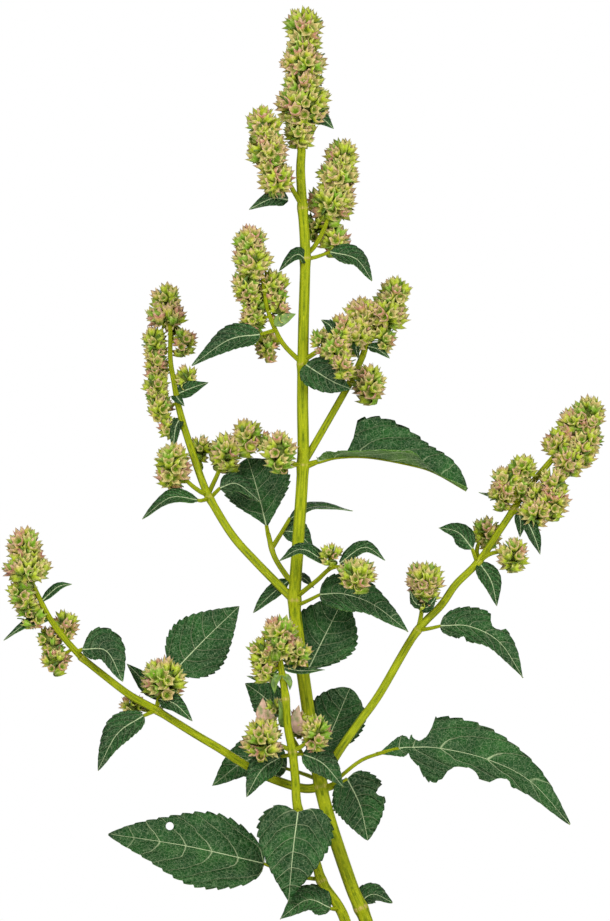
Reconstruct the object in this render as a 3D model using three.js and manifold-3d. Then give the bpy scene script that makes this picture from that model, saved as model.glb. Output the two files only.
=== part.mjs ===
// A potted bengal shrub mint: pot, soil, two stems with their branches, leaves and flower heads.
// Millimetres, +Z up. The origin is the centre of the pot's underside, and -Y is the front.
import * as THREE from 'three';
import { mergeVertices } from 'three/addons/utils/BufferGeometryUtils.js';
import Module from 'manifold-3d';

const wasm = await Module();
wasm.setup();

// Driving sizes
const GAP = 0.3;
const BLADE_THICKNESS = 0.7;
const POT = { height: 130, foot: 52, shoulder: 71.5, rim: 79, rimDrop: 28, lip: 72, floor: 10, floorRadius: 46, bevel: 3 };
const DRAIN = { radius: 5, ring: 26, count: 4, sides: 8, over: 1 };
const SOIL = { top: 115, bottom: 10.3, lumps: 2.2, rings: 4, clear: 0.45, mouth: 8 };
const ROUND_SIDES = 24;
const SEED = 4711;
const STALK_RADII = [1.5, 1.1];
const THIN_RADII = [1.2, 0.8];
const PETIOLE = { halfWidth: 0.9, thickness: 1.3 };
const STEM_SIDES = 8;
const BRANCH_SIDES = 6;
const THIN_SIDES = 5;
const WING = { share: 0.36, overlap: 0.06, roundness: 0.7 };
const OVATE = { roundness: 0.86, taper: 0.25, fold: 0.22, peak: 0.37 };
const TOOTH = { tip: 0.75, reach: 1.02, lip: 0.03, notch: 0.88, hook: 0.12 };
const CALYX = { rowStep: 5.1, reach: 1.06, spread: 0.14, rise: 0.18, valley: 0.6, narrowValley: 0.54 };
const SPIKE_ENDS = { bottom: 0.86, top: 0.13, flattest: 0.98 };
const COLUMNS = [{ from: 10.8, count: 12 }, { from: 7.2, count: 9 }, { from: 0, count: 6 }];
const TWIG = { sides: 4, radius: 1.1, shortest: 1.5 };
const CLEARANCE = { stem: 1.15 * GAP, stalk: 1.2 * GAP, hole: 2 * GAP };
const LCG = { factor: 1664525, step: 1013904223, range: 4294967296 };

// Colours and finishes
const CLAY = { color: 0xb5603c, roughness: 0.85 };
const EARTH = { color: 0x3a291e, roughness: 1 };
const STEM_GREEN = { color: 0xa8b41e, roughness: 0.5 };
const LEAF_GREEN = { color: 0x32623c, roughness: 0.6 };
const HEAD_GREEN = { color: 0xb0a866, roughness: 0.8 };

// Stems: centre-line points from the root end up, and the radius at both ends
const STEMS = {
  main_stem: {
    points: [[21, 0, 89], [19, 0, 115], [13, 0, 140], [8, 0, 159.5], [2, 0, 173.5], [-2.5, 0, 186], [-9, 0, 205.5],
      [-12.6, 0, 218], [-14.8, 0, 228], [-18.5, 0, 247.5], [-21.5, 0, 269], [-26.3, 0, 303.5], [-27.7, 0, 320.5],
      [-25.9, 0, 349.5], [-23.5, 0, 388.5], [-23.7, 0, 421], [-23.3, 0, 455], [-22.4, 0, 492.5], [-23.7, 0, 516],
      [-24.7, 0, 534], [-24.2, 0, 545]],
    radii: [3.6, 2],
  },
  front_stem: {
    points: [[10, -10, 89], [9, -9, 115], [2.5, -7.5, 142.5], [-2.3, -7, 159.5], [-6.3, -8, 168], [-13.8, -9, 179],
      [-17.5, -10.5, 190.5], [-25.8, -14, 215], [-27.3, -17, 231], [-28.8, -20, 245], [-31, -23, 256.5],
      [-32, -26, 270.5], [-34, -28.5, 284]],
    radii: [3.2, 1.9],
  },
  left_upper_branch: {
    on: 'main_stem',
    points: [[-27.7, 0, 319.5], [-46, 5, 339], [-57.6, 9, 352.5], [-69, 14, 370], [-73.7, 17, 378.5],
      [-78.3, 22, 391.5], [-83.4, 28.7, 407]],
    radii: [2.5, 1.9],
  },
  left_lower_branch: {
    on: 'main_stem',
    points: [[-14.4, 0, 226.5], [-24, -2, 226], [-40.5, -7, 231.5], [-52.5, -11, 238], [-65, -15, 246],
      [-77.5, -19, 253.5], [-96.5, -26, 265.5], [-109.5, -31, 273], [-122.5, -36, 283], [-134, -40.5, 292.3]],
    radii: [2.5, 1.8],
  },
  right_branch: {
    on: 'main_stem',
    points: [[-14.8, 0, 228.5], [-6, 4, 243.5], [4.5, 8, 258.5], [15, 12, 273], [32.5, 20, 302.5], [45.8, 25, 317],
      [53.3, 28, 327.5], [64.8, 32, 339], [74.7, 36, 353.5], [82.4, 39, 365], [87.7, 41, 373.5], [97.7, 44, 385.3]],
    radii: [2.7, 1.8],
  },
  upper_right_branch: {
    on: 'main_stem',
    points: [[-23.5, 0, 388], [-17, 4.5, 399], [-3.5, 12, 422.5], [2.5, 17, 433.5], [6.6, 21, 442.5]],
    radii: [2, 1.7],
  },
  back_shoot: {
    on: 'main_stem',
    points: [[-27, 0, 324.5], [-28.2, 5.3, 327.8], [-32.5, 9, 333], [-38, 13, 342], [-41, 17, 353]],
    radii: [1.7, 1.3],
    stalks: [[[-39, 14.5, 346], [-34, 16, 354], [-30, 17, 361]]],
    blades: [
      { rib: [[-30.5, 17, 360], [-18, 18, 366.5], [1.5, 19, 364.5]], width: 9, face: [0, -0.5, 0.9], teeth: 5 },
      { rib: [[-34, 16.5, 354.5], [-26, 20, 353], [-18.5, 21, 345.5]], width: 14, face: [0.1, -0.9, 0.3], teeth: 4 },
      { rib: [[-29, 6, 329], [-24, 9, 331], [-18, 9, 326]], width: 8, face: [0, -0.6, 0.8], teeth: 3 },
      { rib: [[-30, 7, 330], [-40, 8, 322], [-48.5, 8, 313.5]], width: 10, face: [-0.1, -0.7, 0.7], teeth: 5 },
    ],
  },
};

// Flower heads: the stalk they stand on, and their whorls as [x, y, z, reach, half height]
const HEADS = {
  head_top: {
    on: 'main_stem', stalk: [[-24.2, 0, 543.5], [-25, 0, 554], [-23.5, 0, 568.5], [-23, 0, 589.5], [-23, 0, 606]],
    spikes: [[[-25, 0, 554, 8.5, 8], [-23.5, 0, 568.5, 14, 11.5], [-23, 0, 589.5, 12, 9.5], [-23, 0, 607, 10.5, 9.5]]],
    blades: [{ rib: [[-21, 0, 562], [-15, 1, 561], [-8, 3, 556]], width: 6, face: [0.2, -0.8, 0.5], teeth: 3 }],
  },
  head_top_left: {
    on: 'main_stem', stalk: [[-23.9, 0, 517], [-28, -5, 524], [-34, -11, 535], [-39, -14, 545], [-43.5, -14, 558]],
    spikes: [[[-36.5, -14, 530.5, 9.5, 9.5], [-41, -15, 545, 11, 9], [-43.5, -14, 557.5, 9, 9]]],
    blades: [{ rib: [[-28, -5, 520], [-38, -9, 522.5], [-50.5, -12, 515.5]], width: 6.5, face: [-0.2, -0.7, 0.7], teeth: 4 }],
  },
  head_top_right: {
    on: 'main_stem', stalk: [[-22.4, 0, 492], [-17, 5, 498], [-11.7, 8, 508.7], [-8, 11, 522], [-5, 12, 545]],
    spikes: [[[-9, 12, 519.5, 13, 10], [-6, 12, 533, 11, 8], [-4, 12, 543.5, 8, 8]]],
    whorls: [[-17.5, 15, 507, 6.5, 7], [-7.5, 13, 501, 8.5, 7.5]],
  },
  head_upper_left: {
    on: 'main_stem',
    stalk: [[-23.6, 0, 438], [-33, -4, 447.5], [-38.2, -8, 457], [-41.5, -11, 466.5], [-42.7, -13, 474.5],
      [-44.5, -15, 485], [-49, -16, 500]],
    spikes: [[[-49, -15.5, 490, 10.5, 7.5], [-50, -16, 500, 8.5, 7]],
      [[-48.5, -5, 459, 7, 5], [-47.5, -8, 467.5, 6.5, 5], [-52, -13, 478, 7.5, 6.5]],
      [[-35.5, -8, 465.5, 5.5, 6.5], [-38.5, -10.5, 478.5, 7, 7]]],
    whorls: [[-41, 2, 447.5, 6, 6.5]],
    blades: [{ rib: [[-38, -9, 457.5], [-33, -10, 460.5], [-27, -8, 463]], width: 3.5, face: [0, -0.8, 0.6], teeth: 2 }],
  },
  head_upper_right: {
    on: 'upper_right_branch', stalk: [[6.4, 20.8, 442], [10, 23, 453], [15, 25, 463], [23, 27, 474]],
    spikes: [[[17.5, 26, 463.5, 12, 9], [22.5, 27, 474.5, 8.5, 8]], [[3, 22, 452, 10, 7.5], [6, 24, 464, 9.5, 7.5]]],
    whorls: [[17, 24, 451.5, 6.5, 6.5]],
    blades: [
      { rib: [[6.5, 20, 446], [3, 14, 447], [4.5, 9, 440]], width: 5, face: [0, -0.9, 0.4], teeth: 2 },
      { rib: [[9, 21, 447], [14, 20, 445.5], [20, 19, 441]], width: 6, face: [0.3, -0.8, 0.4], teeth: 3 },
    ],
  },
  head_middle_right: {
    on: 'main_stem', stalk: [[-23.6, 0, 439.5], [-16, -6, 444.5], [-9, -11, 449.5], [-5.5, -12, 455]],
    spikes: [[[-3, -15, 437, 5.5, 5.5], [-7, -12, 446, 7, 6], [-5, -10, 456.5, 6, 6]]],
    whorls: [[-14, -7, 450, 5, 5]],
    blades: [{ rib: [[-7, -11.5, 452], [-10, -13, 457], [-14.5, -13, 460]], width: 6, face: [-0.2, -0.9, 0.2], teeth: 2 }],
  },
  head_small_right: {
    on: 'upper_right_branch', stalk: [[0, 14.5, 429], [4, 11, 428.5], [9, 8, 429]],
    whorls: [[9.5, 7.5, 429, 9, 9.5]],
  },
  head_left_spike: {
    on: 'left_upper_branch',
    stalk: [[-83.2, 28.5, 406.3], [-86.3, 32, 418], [-88.2, 35, 428.5], [-90.2, 39, 440], [-90.4, 43.5, 457],
      [-92, 47, 470]],
    spikes: [[[-92.5, 47, 463, 10.5, 7], [-92.5, 48, 472.5, 7, 7]],
      [[-95, 34, 416.5, 6, 6.5], [-97.5, 38, 427.5, 6, 6], [-97, 41, 438, 6, 6], [-98.5, 44, 450, 6.5, 7]]],
    whorls: [[-83.5, 43, 450, 5.5, 6.5], [-82.5, 37, 431, 5, 6], [-91, 31, 406.5, 4.5, 4]],
    blades: [
      { rib: [[-87, 33.5, 424], [-80, 33, 427.5], [-71, 32, 429]], width: 5, face: [0, -0.8, 0.6], teeth: 3 },
      { rib: [[-87, 31.5, 422], [-86.5, 27, 421], [-83, 25, 417]], width: 6, face: [0, -0.9, 0.3], teeth: 2 },
      { rib: [[-85, 30, 411], [-87.5, 26, 406], [-89, 24, 392]], width: 6.5, face: [-0.2, -0.9, 0.2], teeth: 3 },
    ],
  },
  head_left_low: {
    on: 'left_upper_branch', stalk: [[-71, 15, 372.5], [-75.5, 12, 374.5], [-82, 11, 380], [-88, 12, 389]],
    whorls: [[-88.5, 12, 387.5, 9.5, 12.5]],
  },
  head_left_inner: {
    on: 'left_upper_branch',
    stalk: [[-71, 15, 372.5], [-70, 17, 375], [-66.5, 21, 382.5], [-63, 23, 391], [-56.5, 23, 399], [-50, 23, 403]],
    whorls: [[-62.5, 23, 394.5, 8.5, 10], [-51.5, 23, 402, 8.5, 9.5], [-43.5, 20, 399.5, 3.5, 4],
      [-75, 32, 396, 5, 6]],
  },
  head_beside_stem: {
    on: 'main_stem', stalk: [[-23.5, 0, 387.5], [-29, -5, 388.5], [-35, -8, 394]],
    whorls: [[-35, -8, 394.5, 8.5, 10.5]],
  },
  head_centre: {
    on: 'main_stem', stalk: [[-27.5, 0, 321], [-17, -12, 329.5], [-8.5, -21, 336.5], [2, -27, 335.5]],
    whorls: [[4, -28, 334, 10, 8], [-10, -22, 343.5, 4.5, 4]],
    blades: [
      { rib: [[-11, -20, 338], [-24, -23, 345.5], [-35.5, -21, 339.5]], width: 9, face: [0, -0.7, 0.7], teeth: 4 },
      { rib: [[-5, -23, 338.5], [7, -24, 346.5], [17.5, -22, 340]], width: 9, face: [0, -0.7, 0.7], teeth: 4 },
    ],
  },
  head_far_left: {
    on: 'left_lower_branch',
    stalk: [[-133.4, -40.3, 291.8], [-141.5, -44, 301], [-148.5, -47, 310.5], [-154, -50, 321], [-158, -52, 329.5],
      [-160.6, -53, 333.5], [-161.5, -55, 349]],
    spikes: [[[-160, -54, 336.5, 12, 7.5], [-161.5, -55, 348.5, 9.5, 8]],
      [[-158, -46, 313.5, 6.5, 6.5], [-163, -51, 324, 8, 6.5]],
      [[-146, -38, 291.5, 7, 6], [-149.5, -41, 301.5, 5, 5]]],
    whorls: [[-142, -37, 308, 6.5, 7]],
    blades: [
      { rib: [[-153, -50, 320], [-145, -51, 327], [-138, -50, 328.5]], width: 5, face: [0.2, -0.8, 0.6], teeth: 3 },
      { rib: [[-149, -47, 311], [-160, -47, 309], [-172, -49, 300.5]], width: 6, face: [-0.2, -0.8, 0.6], teeth: 3 },
    ],
  },
  head_left_node: {
    on: 'left_lower_branch', stalk: [[-96.5, -26, 265.5], [-95, -26, 273], [-93, -26, 282]],
    whorls: [[-93, -26, 281.5, 12, 11]],
    blades: [
      { rib: [[-96, -25, 271], [-103, -18, 280], [-111.5, -15, 288.5]], width: 9, face: [0, -0.9, 0.2], teeth: 3 },
      { rib: [[-95, -27, 271], [-87, -31, 268.5], [-78.5, -30, 260]], width: 10, face: [0.2, -0.9, 0.3], teeth: 3 },
    ],
  },
  head_left_tuft: {
    on: 'left_lower_branch', stalk: [[-96.5, -26, 265.5], [-102, -23, 265.5], [-108, -22, 267]],
    whorls: [[-108.5, -22, 267.5, 5.5, 4.5]],
  },
  head_right_node: {
    on: 'right_branch', stalk: [[34.3, 20.8, 304.8], [36, 20, 314], [37, 20, 328]],
    whorls: [[37.5, 20, 330, 10.5, 11.5]],
  },
  head_right_behind: {
    on: 'right_branch', stalk: [[64.8, 32, 339], [64, 38, 345], [67, 43, 353]],
    whorls: [[67.5, 43, 355, 7.5, 7]],
  },
  head_right_below: {
    on: 'right_branch', stalk: [[64.8, 32, 339], [71, 29.5, 343], [82, 29, 345]],
    whorls: [[82, 29, 343, 8, 9]],
  },
  head_right_upper: {
    on: 'right_branch', stalk: [[83.8, 39.5, 367.2], [83, 34.5, 374], [86, 33, 381], [87, 34, 388]],
    spikes: [[[76.5, 36, 371.5, 6, 5.5], [78.5, 35, 380.5, 7.5, 6]]],
    whorls: [[87, 35, 387, 6.5, 5.5]],
    blades: [{ rib: [[80.5, 35.5, 369.5], [74, 43, 371], [65, 45, 373.7]], width: 4.5, face: [0, -0.5, 0.8], teeth: 3 }],
  },
  head_right_lower: {
    on: 'right_branch', stalk: [[81.4, 38.6, 363.6], [87, 35, 364.3], [93, 34, 366.5], [101, 35, 372], [102.5, 35, 379]],
    spikes: [[[102, 36, 369, 8, 7], [102.5, 35, 379, 6.5, 5.5]]],
    whorls: [[92.5, 34, 364, 8.5, 8]],
    blades: [
      { rib: [[87, 34, 364], [92.5, 30, 352], [95.7, 29, 342.5]], width: 7.5, face: [0.2, -0.9, 0.2], teeth: 4 },
      { rib: [[85, 35.5, 364.5], [86, 33, 358], [85.5, 32, 351]], width: 6, face: [-0.2, -0.9, 0.2], teeth: 3 },
    ],
  },
  head_right_spike: {
    on: 'right_branch',
    stalk: [[97.3, 43.9, 384.8], [103.8, 46, 392.5], [109.9, 48, 399.5], [116, 50, 408], [120, 50, 414]],
    spikes: [[[119, 49, 400.5, 9.5, 9], [120.5, 50, 414, 9, 9]]],
    whorls: [[104, 47, 399, 6, 5], [112, 49, 409.5, 6, 6], [112, 45, 388, 7.5, 6.5]],
  },
  head_front: {
    on: 'front_stem', stalk: [[-33.9, -28.3, 283.2], [-35, -30, 292], [-35.3, -30, 304]],
    spikes: [[[-42, -27, 286, 7, 5], [-43.5, -28, 295, 8, 7]]],
    whorls: [[-35, -28, 303.5, 9.5, 9.5], [-27, -27, 294, 7.2, 7]],
    blades: [
      { rib: [[-34.5, -29, 287], [-25, -27, 285], [-12.5, -24, 285.5]], width: 6, face: [0, -0.7, 0.7], teeth: 3 },
      { rib: [[-35, -29, 287], [-43, -26, 280.5], [-51.5, -25, 282.5]], width: 4.5, face: [0, -0.7, 0.7], teeth: 3 },
    ],
  },
  head_front_left: {
    on: 'front_stem', stalk: [[-28.8, -20, 245], [-35, -22.5, 248], [-43, -24, 252]],
    whorls: [[-43.5, -24, 252, 10.5, 10.5], [-39, -16, 266, 5, 5.5]],
  },
  head_front_right: {
    on: 'front_stem', stalk: [[-28.8, -20, 245], [-24, -22, 247.5], [-18, -22, 253]],
    whorls: [[-17.5, -22, 254.5, 8, 9.5], [-26, -13, 259, 4.5, 7]],
  },
};

// Large leaves: the petiole, then the midrib from the blade's base to its tip, and the upper side's direction
const LEAVES = {
  leaf_top_right: {
    on: 'main_stem', petiole: [[-22.4, 0, 490.5], [-17, 1, 491.5]],
    rib: [[-10, 3, 494], [3, 4, 490.5], [11, 2, 479.5]], width: 13, face: [0.4, -0.75, 0.5], teeth: 7,
  },
  leaf_top_front: {
    on: 'main_stem', rib: [[-21.5, -1, 489.5], [-27, -6, 492.5], [-35.5, -6, 484.5]], width: 8.5,
    face: [-0.2, -0.8, 0.5], teeth: 4,
  },
  leaf_upper_front: {
    on: 'main_stem', petiole: [[-23.6, 0, 438], [-22, -4, 438]],
    rib: [[-22, -5, 437.5], [-16, -9, 433.5], [-8, -10, 428.8], [0.5, -8.5, 425.3]], width: 20,
    face: [0.1, -0.95, 0.3], teeth: 6,
  },
  leaf_upper_left: {
    on: 'head_upper_left', petiole: [[-37, -7, 455], [-42, -10, 453.5]],
    rib: [[-45, -12.5, 452.6], [-60.5, -16.5, 449.8], [-79, -14, 437]], width: 14.5, face: [-0.3, -0.7, 0.65], teeth: 8,
  },
  leaf_right_folded: {
    on: 'main_stem', petiole: [[-23.5, 0, 387.5], [-15, -4, 389.5]],
    rib: [[-7, -6, 391.5], [9.5, -9, 391.5], [30.5, -12, 387.5], [42.5, -13, 383.5], [58, -13, 374.5]], width: 38,
    face: [0, -0.5, 0.86], fold: 0.85, teeth: 10,
  },
  leaf_left_node: {
    on: 'left_upper_branch', petiole: [[-70.3, 14.5, 370.8], [-74.5, 8.5, 369.6]],
    rib: [[-76.5, 7.5, 370], [-90, 4, 371], [-104, 4, 360.5]], width: 10.5, face: [-0.2, -0.7, 0.7], teeth: 7,
  },
  leaf_inner_node: {
    on: 'left_upper_branch', petiole: [[-70, 14.5, 371], [-66, 11, 375]],
    rib: [[-65, 10.5, 376], [-56.5, 9, 378], [-45.5, 8, 369.5]], width: 12, face: [0.2, -0.8, 0.5], teeth: 6,
  },
  leaf_behind_centre: {
    on: 'back_shoot', petiole: [[-41, 17, 352.5], [-41.8, 18, 357]],
    rib: [[-41.8, 18, 356.5], [-46.5, 29, 375], [-51.5, 37, 391]], width: 40, face: [0, -0.9, 0.4], teeth: 9,
  },
  leaf_centre_right: {
    on: 'main_stem', petiole: [[-27.3, 0, 317], [-22, -5, 319.3]],
    rib: [[-15, -8.5, 322.8], [-3, -10, 323], [12, -11, 317.5], [29, -10, 304.2]], width: 24,
    face: [0.2, -0.8, 0.55], teeth: 10,
  },
  leaf_behind_middle: {
    on: 'main_stem', petiole: [[-16.8, 0, 237], [-20.5, 7, 244], [-23.5, 9, 262]],
    rib: [[-20.5, 9, 287], [-12, 13, 303], [-2.5, 14, 318.5]], width: 35, face: [0, -0.95, 0.2], teeth: 9,
  },
  leaf_far_left: {
    on: 'head_far_left', petiole: [[-136, -41.5, 294.7], [-133, -44, 296]],
    rib: [[-133, -44, 296], [-121, -46, 295], [-113, -45, 280]], width: 22.5, face: [0.1, -0.85, 0.5], teeth: 7,
  },
  leaf_left_upright: {
    on: 'left_lower_branch', petiole: [[-95.3, -25.6, 264.6], [-92, -14, 270.5]],
    rib: [[-87.5, -10.5, 285], [-72, -8, 301], [-55.3, -8, 317]], width: 33, face: [0.1, -0.95, 0.2], teeth: 10,
  },
  leaf_left_hanging: {
    on: 'left_lower_branch', petiole: [[-96.5, -26, 265.5], [-101, -30, 263.5]],
    rib: [[-103, -30.5, 262.7], [-116, -33, 253.5], [-125.5, -34, 235.5]], width: 17, face: [-0.3, -0.85, 0.4], teeth: 8,
  },
  leaf_right_node: {
    on: 'right_branch', petiole: [[34, 20.5, 304.5], [40, 18, 305.5]],
    rib: [[45.5, 17, 306.8], [60, 15, 306.5], [75, 14, 298.5], [86.75, 14, 280.75]], width: 22.5,
    face: [0.25, -0.8, 0.55], teeth: 10,
  },
  leaf_right_upper: {
    on: 'right_branch', petiole: [[64.2, 31.8, 338], [62, 28.5, 344]],
    rib: [[61.5, 28.3, 345.5], [54.5, 27, 353.5], [44.7, 26, 356]], width: 11.5, face: [-0.2, -0.8, 0.5], teeth: 6,
  },
  leaf_right_small: {
    on: 'right_branch', rib: [[65, 31.5, 338.5], [71, 26, 329], [73.8, 25, 316.7]], width: 11.5,
    face: [0.2, -0.9, 0.3], teeth: 6,
  },
  leaf_front_left: {
    on: 'front_stem', petiole: [[-28.6, -19.5, 243], [-33, -17, 242.5]],
    rib: [[-34.5, -16.6, 242], [-44, -15.5, 235.5], [-51.75, -18, 222]], width: 16.5, face: [-0.2, -0.9, 0.35], teeth: 7,
  },
  leaf_front_right: {
    on: 'front_stem', petiole: [[-28.6, -19.5, 243], [-25, -18, 243.5]],
    rib: [[-23.5, -17.5, 243.3], [-13.5, -16.5, 238.5], [-3.5, -19, 227]], width: 17, face: [0.2, -0.9, 0.35], teeth: 7,
  },
  leaf_behind_low_left: {
    on: 'main_stem', petiole: [[-16.5, 0, 230.5], [-25, 7, 233.5]],
    rib: [[-32, 8, 235.5], [-50, 10, 240], [-69, 8, 227]], width: 24, face: [-0.1, -0.9, 0.3], teeth: 8,
  },
  leaf_behind_mid_left: {
    on: 'main_stem', petiole: [[-17.2, 0, 232.5], [-24, 10, 243], [-33, 15, 258]],
    rib: [[-35, 15.5, 262], [-43, 17, 271], [-52.5, 17, 278]], width: 19, face: [0, -0.95, 0.2], teeth: 6,
  },
  leaf_behind_right: {
    on: 'main_stem', petiole: [[-15.5, 0, 233], [-17, 6, 238]],
    rib: [[-14.5, 10.5, 242], [-7, 18, 259], [1, 21, 275.5]], width: 36, face: [-0.12, -0.95, 0.3], teeth: 9,
  },
  leaf_low_right_long: {
    on: 'main_stem',
    petiole: [[-13.5, -1, 226.3], [-8, -4.5, 228.5], [-3.5, -6.5, 233], [7.5, -8, 241], [24.5, -9, 246]],
    rib: [[13, -8.5, 243.3], [24.5, -9, 246], [31.5, -9.5, 246.5], [45, -10, 246], [68.5, -11, 240.5], [90, -11, 229.5],
      [109.75, -10, 208]],
    width: 34.5, face: [0.1, -0.85, 0.5], teeth: 12, wing: 0.3,
  },
  leaf_low_right: {
    on: 'main_stem', petiole: [[-13.3, 0, 224.8], [-7.5, 4, 226.5]],
    rib: [[-1.5, 6, 230.5], [5, 8, 217], [9, 7, 199.5]], width: 29.5, face: [0.1, -0.9, 0.3], teeth: 9,
  },
  leaf_heart: {
    on: 'front_stem', petiole: [[-25.6, -14, 214.5], [-26, -19, 215.5]],
    rib: [[-26, -19.8, 214.5], [-28.5, -25, 195], [-30.7, -22, 170]], width: 39.5, face: [0, -0.98, 0.15], teeth: 9,
    peak: 0.3,
  },
  leaf_low_left_large: {
    on: 'front_stem', petiole: [[-14.3, -9.2, 180.5], [-28, -7, 182.5]],
    rib: [[-43, -10, 188.5], [-82, -14, 200], [-120.6, -16, 203.5]], width: 46.5, face: [0, -0.85, 0.5], teeth: 11,
  },
  leaf_bottom_left: {
    on: 'front_stem', petiole: [[-5, -8, 165.5], [-9, -12, 166]],
    rib: [[-10, -12.5, 166.5], [-21.5, -15, 170.5], [-35, -15, 161]], width: 18, face: [-0.1, -0.8, 0.6], teeth: 7,
  },
  leaf_bottom_right: {
    on: 'main_stem', petiole: [[4.2, 0, 167], [5, 5, 168.5]],
    rib: [[5, 5.3, 169], [12, 7.5, 172.5], [21.3, 7, 168.3]], width: 14, face: [0.1, -0.7, 0.7], teeth: 6,
  },
};

const vector = (p) => new THREE.Vector3(p[0], p[1], p[2]);
const curveThrough = (points) => new THREE.CatmullRomCurve3(points.map(vector), false, 'catmullrom', 0.5);

// A repeatable random number generator for one named piece
function randomFor(name) {
  let state = SEED;
  for (const letter of name) {
    state = (Math.imul(state, 31) + letter.charCodeAt(0)) | 0;
  }
  return () => {
    state = (Math.imul(state, LCG.factor) + LCG.step) | 0;
    return (state >>> 0) / LCG.range;
  };
}

// A closed solid from vertex positions and triangle indices
function solidOf(positions, triangles) {
  const mesh = new wasm.Mesh({
    numProp: 3,
    vertProperties: new Float32Array(positions),
    triVerts: new Uint32Array(triangles),
  });
  mesh.merge();
  return new wasm.Manifold(mesh);
}

function solidOfGeometry(source) {
  const geometry = source.clone();
  geometry.deleteAttribute('normal');
  geometry.deleteAttribute('uv');
  const merged = mergeVertices(geometry, 1e-4);
  return solidOf(merged.attributes.position.array, merged.index.array);
}

function geometryOf(solid) {
  const mesh = solid.getMesh();
  const geometry = new THREE.BufferGeometry();
  geometry.setAttribute('position', new THREE.BufferAttribute(mesh.vertProperties, 3));
  geometry.setIndex(new THREE.BufferAttribute(mesh.triVerts, 1));
  return geometry;
}

// The largest connected body of a solid, without sealed hollows or loose scraps
function largestBody(solid) {
  const bodies = solid.decompose();
  bodies.sort((a, b) => b.volume() - a.volume());
  return bodies[0];
}

// A tapering tube with flat ends along a smooth curve through the points
function tube(points, radii, sides, extra = 0, perSpan = 1) {
  const curve = curveThrough(points);
  const rings = (points.length - 1) * perSpan + 1;
  const front = new THREE.Vector3(0, -1, 0);
  const positions = [];
  const triangles = [];
  for (let ring = 0; ring < rings; ring += 1) {
    const along = ring / (rings - 1);
    const centre = curve.getPoint(along);
    const tangent = curve.getTangent(along);
    const side = front.clone().cross(tangent).normalize();
    const lift = tangent.clone().cross(side);
    const radius = radii[0] + (radii[1] - radii[0]) * along + extra;
    if (ring === 0) centre.addScaledVector(tangent, -extra);
    if (ring === rings - 1) centre.addScaledVector(tangent, extra);
    for (let corner = 0; corner < sides; corner += 1) {
      const turn = (2 * Math.PI * (corner + 0.5)) / sides;
      const point = centre.clone().addScaledVector(side, radius * Math.cos(turn));
      point.addScaledVector(lift, radius * Math.sin(turn));
      positions.push(point.x, point.y, point.z);
    }
  }
  for (let ring = 0; ring + 1 < rings; ring += 1) {
    for (let corner = 0; corner < sides; corner += 1) {
      const next = (corner + 1) % sides;
      const [a, b] = [ring * sides + corner, ring * sides + next];
      triangles.push(a, b, b + sides, a, b + sides, a + sides);
    }
  }
  const last = (rings - 1) * sides;
  for (let corner = 1; corner + 1 < sides; corner += 1) {
    triangles.push(0, corner + 1, corner, last, last + corner, last + corner + 1);
  }
  return solidOf(positions, triangles);
}

// Half the width of an ovate leaf, as a share of its widest, from the base (0) to the tip (1)
function ovate(along, peak) {
  const bend = Math.log(0.5) / Math.log(peak);
  const round = Math.sin(Math.PI * Math.min(1, Math.max(0, along)) ** bend);
  return Math.max(0, round) ** OVATE.roundness * (1 - OVATE.taper * along ** 3);
}

// The share of the widest half width at a place along a blade, with a narrow wing below it if it has one
function outlineAt(along, peak, wing) {
  if (!wing) return ovate(along, peak);
  const lobe = along < wing ? WING.share * Math.sin((Math.PI * along) / wing) ** WING.roundness : 0;
  const start = wing - WING.overlap;
  return Math.max(lobe, along > start ? ovate((along - start) / (1 - start), peak) : 0);
}

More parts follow.
